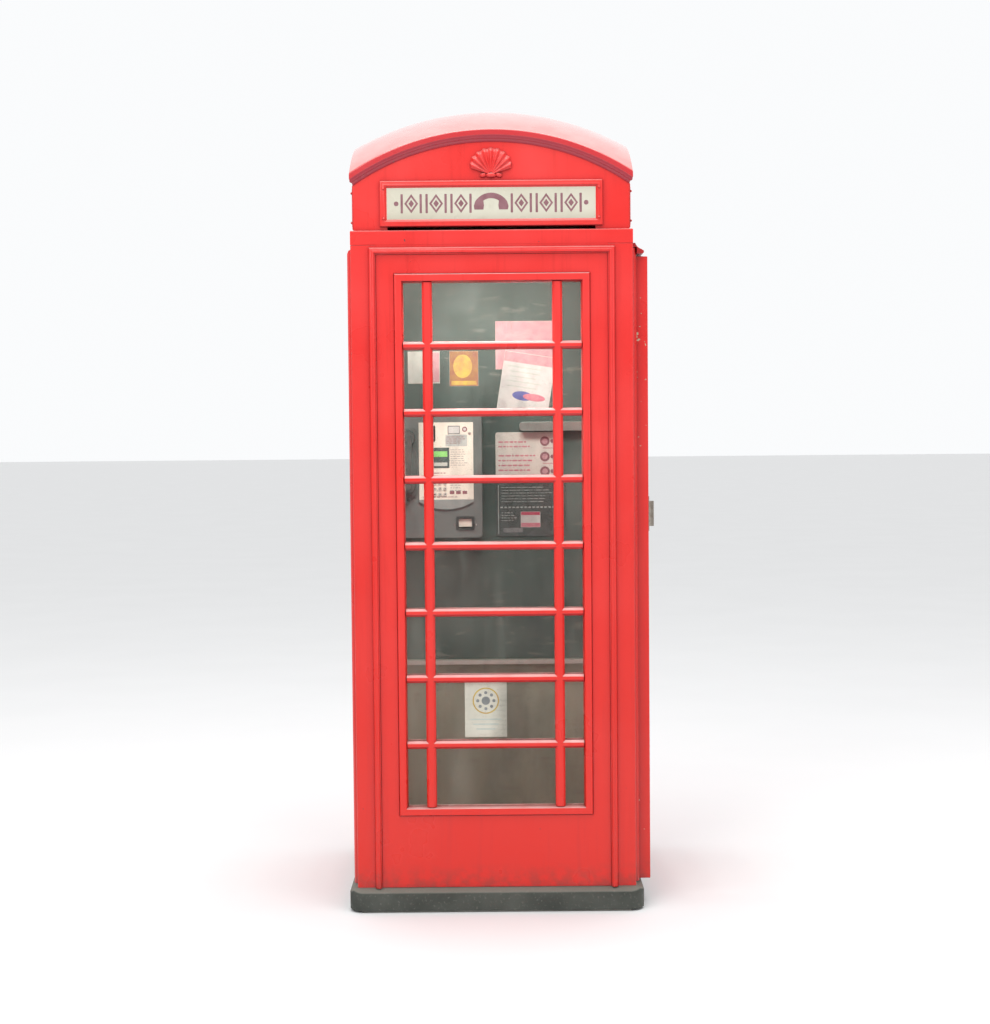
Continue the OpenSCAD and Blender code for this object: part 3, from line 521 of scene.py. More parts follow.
def ring_plate(bm, cx, cz, r_out, r_in, y, t, count=40, start=0.0, turn=2 * math.pi):
    """A flat ring or part of one, standing on edge."""
    whole = abs(turn - 2 * math.pi) < 1e-6
    steps = count if whole else count + 1
    angles = [start + turn * i / count for i in range(steps)]
    section = ((r_out, y), (r_out, y - t), (r_in, y - t), (r_in, y), (r_out, y))
    rows = loops_to_faces(bm, [[Vector((cx + r * math.cos(a), d, cz + r * math.sin(a))) for a in angles]
                               for r, d in section], closed=whole)
    if not whole:
        for end in (0, -1):
            bm.faces.new([row[end] for row in rows[:-1]])


def rounded(cx, cz, w, h, r=1 * MM, steps=4, tilt=0.0):
    """Outline of a rectangle with round corners, turned by tilt."""
    points = []
    for k, (sx, sz) in enumerate(((1, 1), (-1, 1), (-1, -1), (1, -1))):
        for i in range(steps + 1):
            a = math.pi / 2 * (k + i / steps)
            points.append(Vector((sx * (w / 2 - r) + r * math.cos(a), sz * (h / 2 - r) + r * math.sin(a))))
    turn = Matrix.Rotation(tilt, 2)
    return [turn @ p + Vector((cx, cz)) for p in points]


def oval(cx, cz, rx, rz, count=32, tilt=0.0):
    turn = Matrix.Rotation(tilt, 2)
    return [turn @ Vector((rx * math.cos(a), rz * math.sin(a))) + Vector((cx, cz))
            for a in (2 * math.pi * i / count for i in range(count))]


def arc(cx, cz, r, start, end, steps):
    """Points along an arc, in degrees."""
    return [(cx + r * math.cos(math.radians(start + (end - start) * i / steps)),
             cz + r * math.sin(math.radians(start + (end - start) * i / steps))) for i in range(steps + 1)]


def print_on(name, ink, outlines, y, node, t=0.35 * MM):
    """Printed marks or cards as thin raised plates, riding with the node that carries them."""
    bm = bmesh.new()
    for outline in outlines:
        plate(bm, outline, y, t, bevel=0.08 * MM)
    body, slot = tag_of(node)
    return add_piece(name, bm, INK_LOOKS[ink], body)

# ---- Posts, head frame and mouldings ----


def post_outlines():
    """Plan outlines of the front left post's two bars, the wide one with a rounded arris."""
    leg = 77 * MM
    arris = 5 * MM
    depth = POST_DEPTH
    corner = -HALF
    curve = [(corner + arris * (1 - math.cos(a)), corner + arris * (1 - math.sin(a)))
             for a in (math.pi / 2 * i / 6 for i in range(7))]
    wide = curve[::-1] + [(corner, corner + depth), (corner + leg, corner + depth), (corner + leg, corner)]
    start = corner + 55.5 * MM
    back = [(corner, start), (corner + depth, start), (corner + depth, corner + leg), (corner, corner + leg)]
    return wide, back


MOULD_PROFILE = [(0, 0), (0, 3.5 * MM)] \
    + [(u * MM, v * MM) for u, v in arc(9.5, 4.0, 8.5, 175, 95, 6)] \
    + [(10.2 * MM, 14.2 * MM)] + [(u * MM, v * MM) for u, v in arc(14.6, 11.2, 3.8, 130, 25, 6)] \
    + [(19.0 * MM, 8.5 * MM), (21.5 * MM, 7.2 * MM), (21.5 * MM, 0)]


def mouldings(k):
    """The moulding up, over and down one side's opening."""
    profile = [(u, HALF - 0.1 * MM + v) for u, v in MOULD_PROFILE]
    bm = bmesh.new()
    portal_sweep(bm, profile, OPEN_HALF + MOULD_W, SILL_Z, HEAD_Z + MOULD_W, side_matrix(k))
    add_piece(f"moulding_{k}", bm, LOOKS["cast_red"], "kiosk", smooth_angle=50)


def posts():
    wide, back = post_outlines()
    for k, node in enumerate(("post_front_left", "post_front_right", "post_rear_right", "post_rear_left")):
        bm = bmesh.new()
        prism(bm, wide, SILL_Z, POST_TOP, 0.8 * MM)
        prism(bm, back, SILL_Z, POST_TOP, 0.8 * MM)
        bm.transform(side_matrix(k))
        add_piece(node + "_visual", bm, LOOKS["cast_red"], "kiosk", [node])


def head_frame():
    """The ring over the posts, with a rounded top arris, and its bar over each opening."""
    inner = HALF - POST_DEPTH
    top = [(HALF - 4 * MM + 4 * MM * math.cos(a), BODY_Z - 4 * MM + 4 * MM * math.sin(a))
           for a in (math.pi / 2 * i / 6 for i in range(7))]
    low_arris = [(HALF - 1 * MM, POST_TOP + 0.4 * MM), (HALF, POST_TOP + 1.4 * MM)]
    bm = bmesh.new()
    square_sweep(bm, [(inner, POST_TOP + 0.4 * MM)] + low_arris + top + [(inner, BODY_Z)])
    for k in range(4):
        bar = bmesh.new()
        prism(bar, [(-OPEN_HALF, -HALF), (OPEN_HALF, -HALF), (OPEN_HALF, -inner), (-OPEN_HALF, -inner)],
              HEAD_Z, POST_TOP + 1 * MM, 0.3 * MM)
        bar.transform(side_matrix(k))
        join(bm, bar)
    add_piece("head_frame_visual", bm, LOOKS["cast_red"], "kiosk", ["head_frame"])


def join(bm, other):
    """Adds another bmesh to bm."""
    spare = bpy.data.meshes.new("spare")
    other.to_mesh(spare)
    other.free()
    bm.from_mesh(spare)
    bpy.data.meshes.remove(spare)


# ---- Glazed sides ----

BEAD_PROFILE = [(0, GRID_BACK_Y), (0, PANEL_Y), (1 * MM, BEAD_Y - 3 * MM)] \
    + [(u * MM, BEAD_Y + v * MM) for u, v in arc(6, -5.5, 5.5, 155, 90, 5)] \
    + [(u * MM, BEAD_Y + v * MM) for u, v in arc(19.5, -4, 4, 90, 20, 5)] \
    + [(BEAD_W - 2.5 * MM, BAR_Y - 4 * MM), (BEAD_W, BAR_Y - 8 * MM), (BEAD_W, GRID_BACK_Y)]


def bar_section(width):
    """Section of a glazing bar with wide eased bevels, as (across, depth)."""
    half = width / 2
    nose = [(half - 0.4 * MM, BAR_Y - 7.2 * MM), (half - 1.2 * MM, BAR_Y - 5.8 * MM),
            (half - 6.6 * MM, BAR_Y - 1.1 * MM), (half - 7.8 * MM, BAR_Y - 0.3 * MM),
            (half - 9.2 * MM, BAR_Y)]
    right = [(half, GRID_BACK_Y), (half, BAR_Y - 9 * MM)] + nose
    return right + [(-x, y) for x, y in reversed(right)]


def glazing(name, node, matrix):
    """Moulded bead frame, upright bars and level bars of one side."""
    z0, z1, half = BEAD_Z0 + BEAD_W, BEAD_Z1 - BEAD_W, BEAD_HALF - BEAD_W
    bm = bmesh.new()
    frame_sweep(bm, BEAD_PROFILE, BEAD_HALF, BEAD_Z0, BEAD_Z1, matrix)
    lap = 0.5 * MM
    for side in (-1, 1):
        x = side * (half - SIDE_PANE - BAR_W / 2)
        loops = [[matrix @ Vector((x + u, -y, z)) for u, y in bar_section(BAR_W)]
                 for z in (z0 - lap, z1 + lap)]
        loops_to_faces(bm, loops, caps=True)
    pitch = (z1 - z0 + BAR_H) / PANE_ROWS
    for row in range(1, PANE_ROWS):
        z = z0 + row * pitch - BAR_H / 2
        loops = [[matrix @ Vector((x, -y + 0.15 * MM, z + u)) for u, y in bar_section(BAR_H)]
                 for x in (-half - lap, half + lap)]
        loops_to_faces(bm, loops, caps=True)
    body, slot = tag_of(node)
    add_piece(name, bm, LOOKS[slot], body, [node], smooth_angle=35)


def frame_ring(name, node, matrix):
    """A side's frame: four members in one, its bottom rail the deepest, with eased arrises."""
    z0, z1, back, ease = SILL_Z, HEAD_Z, -high("front_frame").y, 2.2 * MM

    def ring(inner, y, inset=0.0):
        if inner:
            x, foot, head = BEAD_HALF - inset, BEAD_Z0 + inset, BEAD_Z1 - inset
        else:
            x, foot, head = OPEN_HALF - inset, z0 + inset, z1 - inset
        return [matrix @ Vector((a, -y, b)) for a, b in ((-x, foot), (x, foot), (x, head), (-x, head))]

    section = [ring(0, back), ring(0, PANEL_Y - ease), ring(0, PANEL_Y - ease * 0.3, ease * 0.3),
               ring(0, PANEL_Y, ease), ring(1, PANEL_Y, -ease), ring(1, PANEL_Y - ease * 0.3, -ease * 0.3),
               ring(1, PANEL_Y - ease), ring(1, back), ring(0, back)]
    bm = bmesh.new()
    loops_to_faces(bm, section)
    body, slot = tag_of(node)
    add_piece(name, bm, LOOKS[slot], body, [node])


# ---- Roof ----


def dome_point(x, y, drop):
    return Vector((x, y, DOME_Z + math.sqrt((DOME_R - drop) ** 2 - x * x - y * y)))


def roof():
    """Dome with a moulded eave as one closed shell, and the fascia walls under it."""
    d = CORNICE_HALF
    f = FASCIA_HALF
    nose = [(d - 3 * MM + 3 * MM * math.cos(a), 3 * MM - 3 * MM * math.sin(a))
            for a in (math.pi / 2 * (1 - i / 4) for i in range(5))]
    cyma = [(u * MM + f, v * MM) for u, v in
            ((10.5, 17), (10.5, 20), (9.4, 23), (7.4, 25.6), (5.2, 28), (3.4, 31), (2.4, 34),
                    (2.2, 37), (0, 37))]
    profile = nose + [(d, 14 * MM), (d - 0.8 * MM, 15.5 * MM)] + cyma + [(f - FASCIA_T, 37 * MM),
                                                                        (f - FASCIA_T, 10 * MM)]
    count = 40
    bm = bmesh.new()
    shares = [-1 + 2 * i / count for i in range(count + 1)]
    for reach, drop in ((profile[0][0], profile[0][1]), (profile[-1][0], profile[-1][1])):
        rows = [[dome_point(x * reach, y * reach, drop) for x in shares] for y in shares]
        loops_to_faces(bm, rows, closed=False)
    for k in range(4):
        rows = [[side_matrix(k) @ dome_point(x * dist, -dist, drop) for x in shares]
                for dist, drop in profile]
        loops_to_faces(bm, rows, closed=False)
    add_piece("roof_dome", bm, LOOKS["eave_red"], "kiosk", ["roof"], smooth_angle=30)
    fascia()


def fascia():
    """Four walls with a sign opening and a ventilation slot in each."""
    hole_w, hole_z = (SIGN_W - 18 * MM) / 2, (SIGN_H - 16 * MM) / 2
    cuts = [-FASCIA_HALF, -VENT_HALF, -hole_w, hole_w, VENT_HALF]
    xs = [cuts[0]]
    for a, b in zip(cuts, cuts[1:] + [FASCIA_HALF]):
        steps = max(1, round((b - a) / (30 * MM)))
        xs += [a + (b - a) * (i + 1) / steps for i in range(steps)]
    levels = [BODY_Z, BODY_Z + VENT_H, SIGN_Z - hole_z, SIGN_Z + hole_z, None]
    bm = bmesh.new()
    for k in range(4):
        grid = []
        for z in levels:
            grid.append([bm.verts.new(side_matrix(k) @ (
                Vector((x, -FASCIA_HALF, z)) if z else dome_point(x, -FASCIA_HALF, 36 * MM))) for x in xs])
        for row in range(4):
            for i in range(len(xs) - 1):
                x = (xs[i] + xs[i + 1]) / 2
                if row == 0 and abs(x) < VENT_HALF or row == 2 and abs(x) < hole_w:
                    continue
                bm.faces.new((grid[row][i], grid[row][i + 1], grid[row + 1][i + 1], grid[row + 1][i]))
    bmesh.ops.remove_doubles(bm, verts=bm.verts, dist=1e-6)
    bmesh.ops.recalc_face_normals(bm, faces=bm.faces)
    piece = add_piece("roof_fascia", bm, LOOKS["frame_red"], "kiosk")
    middle_face = piece.data.polygons[0]
    outward = middle_face.normal.dot(Vector((middle_face.center.x, middle_face.center.y, 0))) > 0
    shell = piece.modifiers.new("wall", "SOLIDIFY")
    shell.thickness = FASCIA_T
    shell.offset = -1 if outward else 1
    piece.modifiers.move(1, 0)


def lifting_socket():
    bm = bmesh.new()
    for r_out, r_in, z0, z1 in ((15, 8, -2, 1.6), (8.2, 6.5, -12, 0.6)):
        rings = [[Vector((r * MM * math.cos(a), r * MM * math.sin(a), CROWN_Z + z * MM - 1.7 * MM))
                  for a in (math.pi * i / 16 for i in range(32))]
                 for r, z in ((r_out, z0), (r_out, z1 - 0.6), (r_out - 0.6, z1), (r_in, z1),
                         (r_in, z0), (r_out, z0))]
        loops_to_faces(bm, rings)
    add_piece("lifting_socket", bm, LOOKS["roof_red"], "kiosk")


def shells():
    """A scallop shell in relief on each side: a fan of ribs over a scrolled foot."""
    ribs, around, along = 9, 108, 26
    fan = math.radians(72)
    reach = (SHELL_Z1 - SHELL_Z0) * 0.98
    half_w = 62 * MM
    bm = bmesh.new()
    for k in range(4):
        part = bmesh.new()
        front, back = [], []
        for i in range(around + 1):
            s = -1 + 2 * i / around
            angle = s * fan
            wave = 0.5 + 0.5 * math.cos(s * ribs * math.pi)
            edge = reach * (0.93 - 0.10 * s * s) * (0.955 + 0.045 * wave)
            row, rear = [], []
            for j in range(along + 1):
                v = j / along
                r = 8 * MM + (edge - 8 * MM) * v
                x = max(-half_w, min(half_w, r * math.sin(angle)))
                z = SHELL_Z0 + 9 * MM + r * math.cos(angle)
                dome = math.sin(math.pi * min(1, 0.18 + 0.75 * v)) ** 0.6
                relief = (4 + 4.5 * dome + 4.2 * wave * min(1, v * 2)) * MM * min(1, 6 * (1 - v) + 0.25)
                row.append(Vector((x, -FASCIA_HALF - relief, z)))
                rear.append(Vector((x, -FASCIA_HALF + 1 * MM, z)))
            front.append(row)
            back.append(rear)
        loops_to_faces(part, front, closed=False)
        loops_to_faces(part, back, closed=False)
        for line in ([[r[0] for r in front], [r[0] for r in back]],
                [[r[-1] for r in front], [r[-1] for r in back]],
                     [front[0], back[0]], [front[-1], back[-1]]):
            loops_to_faces(part, line, closed=False)
        for side in (-1, 0, 1):
            ball = bmesh.new()
            bmesh.ops.create_uvsphere(ball, u_segments=24, v_segments=14, radius=1)
            size = (11, 8, 8) if side else (17, 9, 9)
            ball.transform(Matrix.Translation((side * 24 * MM, -FASCIA_HALF - 1 * MM, SHELL_Z0 + 8 * MM))
                           @ Matrix.Rotation(side * 0.35, 4, "Y")
                            @ Matrix.Diagonal((*[c * MM for c in size], 1)))
            join(part, ball)
        part.transform(side_matrix(k))
        join(bm, part)
    add_piece("shell_ornaments", bm, LOOKS["frame_red"], "kiosk", ["roof_ornaments"],
            smooth_angle=60)


# ---- Signs ----

SIGN_PROFILE = [(0, FASCIA_HALF - 0.5 * MM), (0, FASCIA_HALF + 5 * MM)] \
    + [(u * MM, FASCIA_HALF + v * MM) for u, v in arc(5, 5.5, 5, 175, 90, 5)] \
    + [(8 * MM, FASCIA_HALF + 10.5 * MM)] \
    + [(u * MM, FASCIA_HALF + v * MM) for u, v in arc(13.5, 8.5, 3.5, 120, 30, 5)] \
    + [(u * MM, FASCIA_HALF + v * MM) for u, v in arc(23.5, 10.6, 5, 215, 268, 5)] \
    + [(24 * MM, FASCIA_HALF + 5.6 * MM), (24 * MM, FASCIA_HALF - 0.5 * MM)]


def signs():
    bm = bmesh.new()
    for k in range(4):
        frame_sweep(bm, SIGN_PROFILE, SIGN_W / 2 + SIGN_BORDER, SIGN_Z - SIGN_H / 2 - SIGN_BORDER,
                    SIGN_Z + SIGN_H / 2 + SIGN_BORDER, side_matrix(k))
    add_piece("sign_mouldings", bm, LOOKS["frame_red"], "kiosk", ["sign_frames"],
            smooth_angle=35)
    emblems()


def handset_outline(cx, cz, size):
    """Side view of a telephone handset: a curved grip with an ear cup at each end."""
    top = arc(0, -0.62, 1.12, 147, 33, 18)
    right = [(1.02, -0.28), (0.98, -0.48), (0.46, -0.48), (0.42, -0.24)]
    under = arc(0, -0.62, 0.80, 55, 125, 12)
    left = [(-x, z) for x, z in reversed(right)]
    return [Vector((cx + x * size, cz + (z + 0.05) * size)) for x, z in top + right + under + left]


def lozenge(bm, x, z, w, h, y):
    """A pointed frame with a solid heart."""
    heart = [Vector((x - w * 0.4, z)), Vector((x, z + h * 0.4)), Vector((x + w * 0.4, z)),
            Vector((x, z - h * 0.4))]
    plate(bm, heart, y, 0.4 * MM, bevel=0)
    corners = ((-1, 0), (0, 1), (1, 0), (0, -1))
    for (ax, az), (bx, bz) in zip(corners, corners[1:] + corners[:1]):
        strip = [Vector((x + ax * w, z + az * h)), Vector((x + bx * w, z + bz * h)),
                 Vector((x + bx * w * 0.68, z + bz * h * 0.68)),
                 Vector((x + ax * w * 0.68, z + az * h * 0.68))]
        plate(bm, strip, y, 0.4 * MM, bevel=0)


def emblems():
    """A printed device in the middle of each sign: a handset between rules and lozenges."""
    bm = bmesh.new()
    y = -FASCIA_HALF - 6 * MM
    for k in range(4):
        part = bmesh.new()
        plate(part, handset_outline(0, SIGN_Z + 3 * MM, 52 * MM), y, 0.4 * MM, bevel=0)
        for side in (-1, 1):
            for n in range(3):
                x = side * (92 + 76 * n) * MM
                for edge in (-1, 1):
                    bar = rounded(x + edge * 29 * MM, SIGN_Z, 7 * MM, 58 * MM, 1.5 * MM)
                    plate(part, bar, y, 0.4 * MM, bevel=0)
                lozenge(part, x, SIGN_Z, 21 * MM, 29 * MM, y)
            plate(part, rounded(side * 290 * MM, SIGN_Z, 14 * MM, 14 * MM, 6.5 * MM), y, 0.4 * MM, bevel=0)
        part.transform(side_matrix(k))
        join(bm, part)
    body, slot = tag_of("sign_glasses")
    add_piece("sign_emblems", bm, INK_LOOKS["plum"], body)


# ---- Worked copies of the remaining CAD nodes ----

SOFT_NODES = {
    0.0050: ("plinth",),
    0.0030: ("packing_bed",),
    0.0025: ("back_panel", "door_frame", "door_hood", "door_stop"),
    0.0015: ("floor_slab", "ceiling_panel", "ceiling_light", "backboard_ledge", "parcel_shelf",
             "payphone_housing", "handset_cradle", "door_handle"),
    0.0008: ("backboard", "ceiling_light_lens", "payphone_faceplate", "housing_lip", "display_window",
             "coin_slot_plate", "coin_return_pocket", "notice_plate", "info_panel", "hinge_frame_leaves",
             "hinge_door_leaves", "coin_return_flap", "hook_switch", "handset"),
    0.0005: ("frame_screws", "payphone_fixings", *(f"key_{n}" for n in range(1, 13))),
}


def worked_nodes():
    for width, nodes in SOFT_NODES.items():
        for node in nodes:
            soften(node, width, 3 if width > 0.002 else 2)
    for node in ("front_glass", "left_glass", "door_glass", "sign_glasses", "paper_notices"):
        frame["nodes"][node].data.materials.clear()
        frame["nodes"][node].data.materials.append(LOOKS[tag_of(node)[1]])


# ---- Print on the telephone, its notices and the cards ----


def lines(x, z, widths, pitch, h=2.2 * MM):
    """Rows of print: for each row its word lengths, drawn as bars with gaps."""
    made = []
    for row, words in enumerate(widths):
        left = x
        for word in words:
            made.append(rounded(left + word / 2, z - row * pitch, word, h, h * 0.4, steps=2))
            left += word + 3 * MM
    return made


def word_rows(seed, rows, width, smallest=6, largest=22):
    """Word lengths that fill each row to about the width, the same every time."""
    pick = random.Random(seed)
    made = []
    for row in range(rows):
        room = width * (0.72 + 0.28 * pick.random()) / MM
        words = []
        while room > smallest:
            word = min(room, pick.uniform(smallest, largest))
            words.append(word * MM)
            room -= word + 3
        made.append(words)
    return made


def phone_print():
    face = FACE_LO.y
    node = "payphone_faceplate"
    right = FACE_HI.x
    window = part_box("display_window")
    window_x = (window[0].x + window[1].x) / 2
    key_top = high("key_1").z
    print_on("digit_display", "green", [rounded(window_x, window[1].z - 22 * MM, 50 * MM, 19 * MM)],
             window[0].y, "display_window")
    print_on("card_window", "silver", [rounded(window_x, window[0].z + 13 * MM, 50 * MM, 12 * MM)],
             window[0].y, "display_window")
    keys_x = [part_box(f"key_{n}") for n in (1, 2, 3)]
    middle = (keys_x[0][0].x + keys_x[2][1].x) / 2
    print_on("key_heading", "plum",
            lines(middle - 22 * MM, key_top + 9 * MM, word_rows(2, 1, 48 * MM), 4 * MM, 3 * MM),
             face, node)
    for n in range(1, 13):
        lo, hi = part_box(f"key_{n}")
        mark = oval((lo.x + hi.x) / 2, (lo.z + hi.z) / 2, 2.0 * MM, 2.4 * MM, 16)
        print_on(f"key_{n}_mark", "black", [mark], lo.y, f"key_{n}", 0.2 * MM)
    slot_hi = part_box("coin_slot_plate")[1]
    print_on("label_field", "grey",
            [rounded(right - 66 * MM, slot_hi.z - 16 * MM, 42 * MM, 29 * MM, 2 * MM)],
             face, node, 0.3 * MM)
    print_on("label_card", "white",
            [rounded(right - 66 * MM, slot_hi.z - 16 * MM, 36 * MM, 22 * MM, 2 * MM)],
             face - 0.3 * MM, node, 0.3 * MM)
    print_on("round_emblem", "plum", [oval(right - 29 * MM, slot_hi.z - 14 * MM, 9 * MM, 9 * MM)],
            face, node)
    print_on("emblem_middle", "white", [oval(right - 29 * MM, slot_hi.z - 14 * MM, 5 * MM, 5 * MM)],
             face - 0.35 * MM, node)
    print_on("tariff_field", "light",
            [rounded(right - 58 * MM, FACE_HI.z - 62 * MM, 74 * MM, 40 * MM, 2 * MM)],
             face, node, 0.2 * MM)
    print_on("tariff_print", "plum",
            lines(right - 92 * MM, FACE_HI.z - 50 * MM, word_rows(5, 4, 66 * MM, 5, 16), 7 * MM),
             face - 0.2 * MM, node)
    print_on("help_print", "grey", lines(right - 78 * MM, FACE_HI.z - 94 * MM,
            word_rows(8, 8, 64 * MM, 4, 14), 7.5 * MM,
                                         1.8 * MM), face, node)
    print_on("key_side_print", "grey",
            lines(right - 80 * MM, key_top - 6 * MM, word_rows(9, 6, 44 * MM, 4, 14),
                                             9 * MM, 1.8 * MM), face, node)
    cells = [rounded(right - (74 - 22 * i) * MM, FACE_LO.z + 24 * MM, 16 * MM, 11 * MM,
            2 * MM) for i in range(3)]
    print_on("card_marks", "plum", cells, face, node)
    print_on("foot_print", "plum", lines(FACE_LO.x + 12 * MM, FACE_LO.z + 9 * MM,
            word_rows(4, 1, 150 * MM), 6 * MM), face, node)


def notice_print():
    """The pink instruction plate: rows of print and a column of round signs."""
    lo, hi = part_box("notice_plate")
    y = lo.y
    body = lines(lo.x + 10 * MM, hi.z - 34 * MM, word_rows(21, 2, 128 * MM), 16 * MM, 5.5 * MM)
    body += lines(lo.x + 10 * MM, hi.z - 82 * MM, word_rows(23, 4, 140 * MM), 17 * MM, 5.5 * MM)
    print_on("notice_rows", "pink", body, y, "notice_plate")
    rounds, middles = [], []
    for z in (32, 86, 137):
        rounds += [oval(hi.x - 45 * MM, hi.z - z * MM, 17 * MM, 17 * MM),
                   oval(hi.x - 19 * MM, hi.z - z * MM, 7 * MM, 7 * MM)]
        middles.append(oval(hi.x - 45 * MM, hi.z - z * MM, 9.5 * MM, 9.5 * MM))
        middles.append(rounded(hi.x - 32 * MM, hi.z - (z + 24) * MM, 42 * MM, 3 * MM, 1.2 * MM))
    print_on("notice_rounds", "plum", rounds, y, "notice_plate")
    print_on("notice_middles", "blush", middles, y - 0.35 * MM, "notice_plate")


def info_print():
    """The dark panel under it: light rules, rows of print and a small card."""
    lo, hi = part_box("info_panel")
    y = lo.y
    mid = (lo.z + hi.z) / 2
    light = [rounded(lo.x + 9 * MM, mid, 2 * MM, (hi.z - lo.z) * 0.9, 0.8 * MM)]
    light += [rounded(lo.x + (20 + 14 * i) * MM, mid + 7 * MM, 9 * MM, 5 * MM, 1.5 * MM) for i in range(15)]
    light += lines(lo.x + 20 * MM, mid - 12 * MM, word_rows(31, 4, 58 * MM, 4, 14), 9 * MM, 2.6 * MM)
    light += lines(lo.x + 20 * MM, hi.z - 18 * MM, word_rows(32, 6, 200 * MM, 5, 26), 10 * MM, 1.8 * MM)
    print_on("info_rows", "light", light, y, "info_panel")
    x, z = lo.x + 121 * MM, mid - 36 * MM
    print_on("info_card", "white", [rounded(x, z, 69 * MM, 55 * MM)], y, "info_panel")
    print_on("info_card_top", "crimson", [rounded(x, z + 21 * MM, 66 * MM, 11 * MM)], y - 0.35 * MM,
            "info_panel")
    print_on("info_card_foot", "pink", [rounded(x, z - 19 * MM, 66 * MM, 14 * MM)], y - 0.35 * MM,
            "info_panel")
    print_on("info_smudge", "grey",
            [rounded(lo.x + 60 * MM, lo.z + 22 * MM, 70 * MM, 16 * MM, 6 * MM)], y, "info_panel")


# Cards on the backboard: (middle across, above the telephone, tilt, width, height, cards under it)
OCHRE_CARD = (-101, 160, 0, 100, 122, 0)
SIDE_CARD = (-241, 165, 0, 112, 112, 0)
PINK_SHEET = (110, 240, 0, 200, 168, 0)
POSTER = (117, 107, -9, 180, 205, 1)
CARD_T = 0.8 * MM


def on_card(card, x, z, w, h, r=1.0, round_shape=False):
    """An outline on a card, placed from the card's own middle in millimetres."""
    tilt = math.radians(card[2])
    middle = Vector((card[0] * MM, PHONE_HI.z + card[1] * MM)) + Matrix.Rotation(tilt,
            2) @ Vector((x * MM, z * MM))
    if round_shape:
        return oval(*middle, w / 2 * MM, h / 2 * MM, tilt=tilt)
    return rounded(*middle, w * MM, h * MM, r * MM, tilt=tilt)


def print_card(card, name, ink, outlines, layer=0):
    y = BOARD_Y - (card[5] + 1) * CARD_T - layer * 0.3 * MM
    return print_on(name, ink, outlines, y, "paper_notices", 0.3 * MM)


def card_print():
    """The faces of the cards and sheets on the backboard."""
    print_card(OCHRE_CARD, "ochre_card", "ochre", [on_card(OCHRE_CARD, 0, 0, 99, 121)])
    print_card(OCHRE_CARD, "ochre_card_sun", "yellow", [on_card(OCHRE_CARD, -4, 8, 66, 82, round_shape=True),
                                                        on_card(OCHRE_CARD, 0, -50, 88, 14)], 1)
    print_card(SIDE_CARD, "side_card", "silver", [on_card(SIDE_CARD, 0, 0, 111, 111)])
    print_card(SIDE_CARD, "side_card_band", "blush", [on_card(SIDE_CARD, 40, 0, 28, 104)], 1)
    print_card(PINK_SHEET, "pink_sheet", "blush", [on_card(PINK_SHEET, 0, 0, 199, 167)])
    print_card(POSTER, "poster_face", "white", [on_card(POSTER, 0, 0, 179, 204)])
    print_card(POSTER, "poster_band", "blush", [on_card(POSTER, 0, 84, 178, 34)], 1)
    print_card(POSTER, "poster_oval_left", "blue", [on_card(POSTER, -6, -46, 74, 32, round_shape=True)], 1)
    print_card(POSTER, "poster_oval_right", "pink", [on_card(POSTER, 34, -46, 78, 25, round_shape=True)], 2)
    rows = [on_card(POSTER, -14 + 5 * (n % 2), 52 - 17 * n, 120 - 14 * (n % 3), 4) for n in range(5)]
    print_card(POSTER, "poster_rows", "silver", rows, 1)


def window_notice():
    """A ring of dots round a disc, on the paper behind the front glass."""
    pane_h = (BEAD_Z1 - BEAD_Z0 - 2 * BEAD_W - (PANE_ROWS - 1) * BAR_H) / PANE_ROWS
    cx, cz = -30 * MM, BEAD_Z0 + BEAD_W + pane_h + BAR_H + 94 * MM
    y = low("paper_notices").y
    bm = bmesh.new()
    ring_plate(bm, cx, cz + 28 * MM, 41 * MM, 37 * MM, y, 0.3 * MM)
    body, slot = tag_of("paper_notices")
    add_piece("window_ring", bm, INK_LOOKS["yellow"], body)
    dots = [oval(cx, cz + 28 * MM, 13 * MM, 13 * MM)]
    for n in range(8):
        a = 2 * math.pi * n / 8
        dots.append(oval(cx + 25 * MM * math.cos(a), cz + (28 + 25 * math.sin(a)) * MM, 5 * MM, 5 * MM, 20))
    print_on("window_dots", "grey", dots, y, "paper_notices", 0.3 * MM)
    rows = [rounded(cx, cz - (30 + 15 * n) * MM, (96 - 18 * n) * MM, 4 * MM) for n in range(3)]
    print_on("window_rows", "silver", rows, y, "paper_notices", 0.3 * MM)


# ---- Build ----

worked_nodes()
posts()
head_frame()
for side in range(4):
    mouldings(side)
frame_ring("front_frame_visual", "front_frame", FRONT)
frame_ring("left_frame_visual", "left_frame", LEFT)
glazing("front_glazing", "front_glazing_bars", FRONT)
glazing("left_glazing", "left_glazing_bars", LEFT)
glazing("door_glazing", "door_glazing_bars", DOOR)
roof()
lifting_socket()
shells()
signs()
phone_print()
notice_print()
info_print()
card_print()
window_notice()

# ---- Floor, light and camera ----


def pale_floor():
    look = Look("pale_floor", Specular_IOR_Level=0.2)
    color = look.blend(look.steps(look.noise(1.5, 3), 0.3, 0.7), (0.87, 0.87, 0.87), (0.885, 0.885, 0.885))
    return look.finish(color, look.steps(look.noise(8), 0.3, 0.7, 0.75, 0.9))


def studio():
    bm = bmesh.new()
    reach = 90.0
    bm.faces.new([bm.verts.new((x * reach, y * reach, 0)) for x, y in ((-1, -1), (1, -1), (1, 1), (-1, 1))])
    mesh = bpy.data.meshes.new("studio_floor")
    bm.to_mesh(mesh)
    bm.free()
    floor = bpy.data.objects.new("studio_floor", mesh)
    mesh.materials.append(pale_floor())
    bpy.context.scene.collection.objects.link(floor)


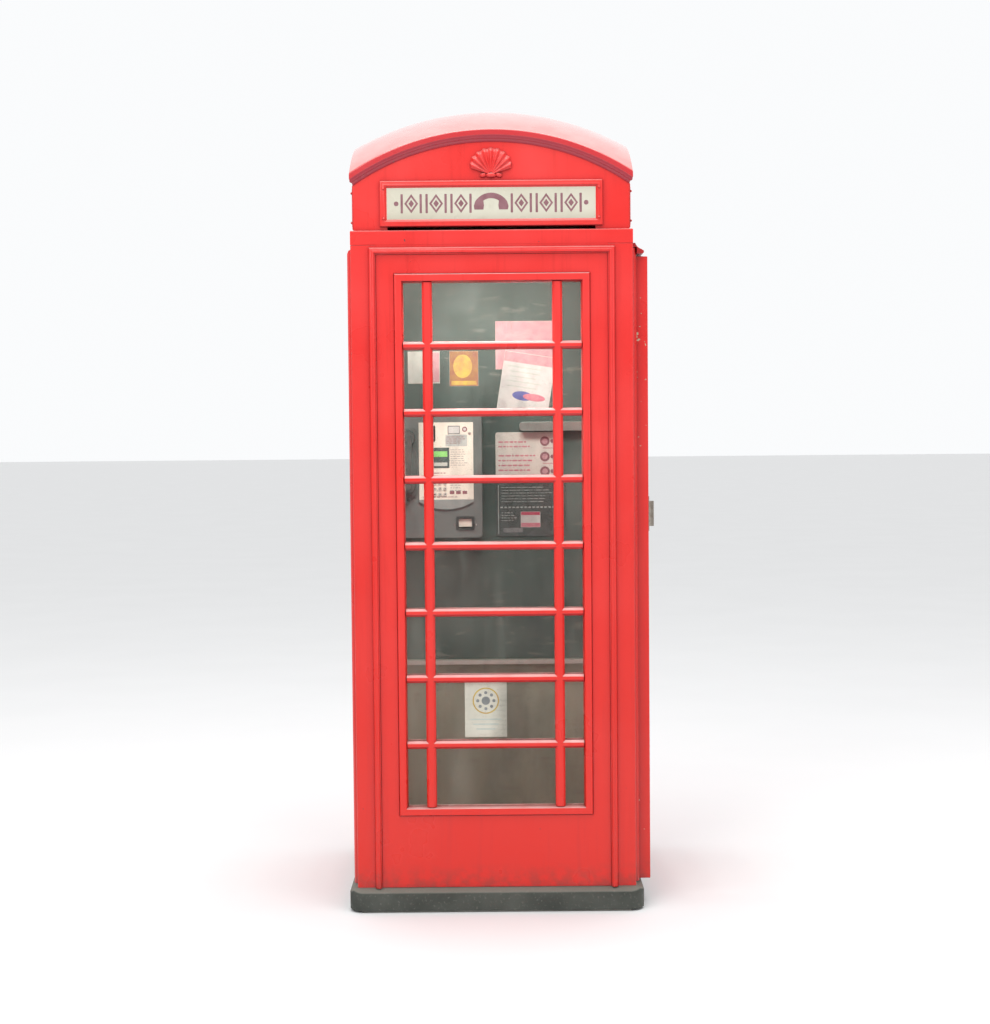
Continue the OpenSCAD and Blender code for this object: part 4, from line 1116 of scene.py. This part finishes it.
def area_light(name, place, target, size, power, color=(1, 1, 1)):
    data = bpy.data.lights.new(name, "AREA")
    data.shape = "RECTANGLE"
    data.size, data.size_y = size
    data.energy = power
    data.color = color
    lamp = bpy.data.objects.new(name, data)
    lamp.location = place
    lamp.rotation_euler = (Vector(target) - Vector(place)).to_track_quat("-Z", "Y").to_euler()
    bpy.context.scene.collection.objects.link(lamp)


def lights():
    world = bpy.data.worlds.new("studio")
    world.use_nodes = True
    tree = world.node_tree

    def ramp(value, start, end, low_value, high_value):
        node = tree.nodes.new("ShaderNodeMapRange")
        tree.links.new(value, node.inputs["Value"])
        for key, number in zip(("From Min", "From Max", "To Min", "To Max"),
                (start, end, low_value, high_value)):
            node.inputs[key].default_value = number
        return node.outputs[0]

    axes = tree.nodes.new("ShaderNodeSeparateXYZ")
    tree.links.new(tree.nodes.new("ShaderNodeTexCoord").outputs["Generated"], axes.inputs[0])
    backdrop = ramp(axes.outputs["Y"], 0.45, 0.85, 0, 1)
    sky = ramp(axes.outputs["Z"], -0.05, 0.85, 0.32, 1.0)
    mixer = tree.nodes.new("ShaderNodeMix")
    tree.links.new(backdrop, mixer.inputs["Factor"])
    tree.links.new(sky, mixer.inputs["A"])
    mixer.inputs["B"].default_value = 0.98
    background = tree.nodes["Background"]
    background.inputs["Color"].default_value = (0.98, 0.99, 1.0, 1)
    tree.links.new(mixer.outputs["Result"], background.inputs["Strength"])
    bpy.context.scene.world = world
    area_light("key_soft", (-2.6, -5.2, 4.6), (0, -0.2, 1.3), (3.6, 3.0), 95, (1, 0.99, 0.97))
    area_light("fill_soft", (3.4, -4.6, 2.4), (0, 0, 1.2), (3.0, 3.0), 20)
    area_light("top_soft", (0, -0.6, 6.0), (0, 0, 2.4), (4.0, 4.0), 150)
    area_light("cabin_soft", (-0.05, -0.28, 1.98), (-0.05, 0.36, 0.95), (0.5, 0.2), 9.5, (0.90, 1, 0.92))


def camera():
    eye_height, distance = 1.4895, 5.561
    data = bpy.data.cameras.new("viewpoint")
    data.lens = 63.7
    data.sensor_width = 36
    data.dof.use_dof = False
    cam = bpy.data.objects.new("viewpoint", data)
    cam.location = (0.0035, -HALF - distance, eye_height)
    tilt, roll = math.radians(90 - 2.6), math.radians(-0.5)
    cam.rotation_euler = (Matrix.Rotation(tilt, 3, "X") @ Matrix.Rotation(roll, 3, "Z")).to_euler()
    bpy.context.scene.collection.objects.link(cam)
    bpy.context.scene.camera = cam


studio()
lights()
camera()
bpy.context.scene.view_settings.view_transform = "Standard"
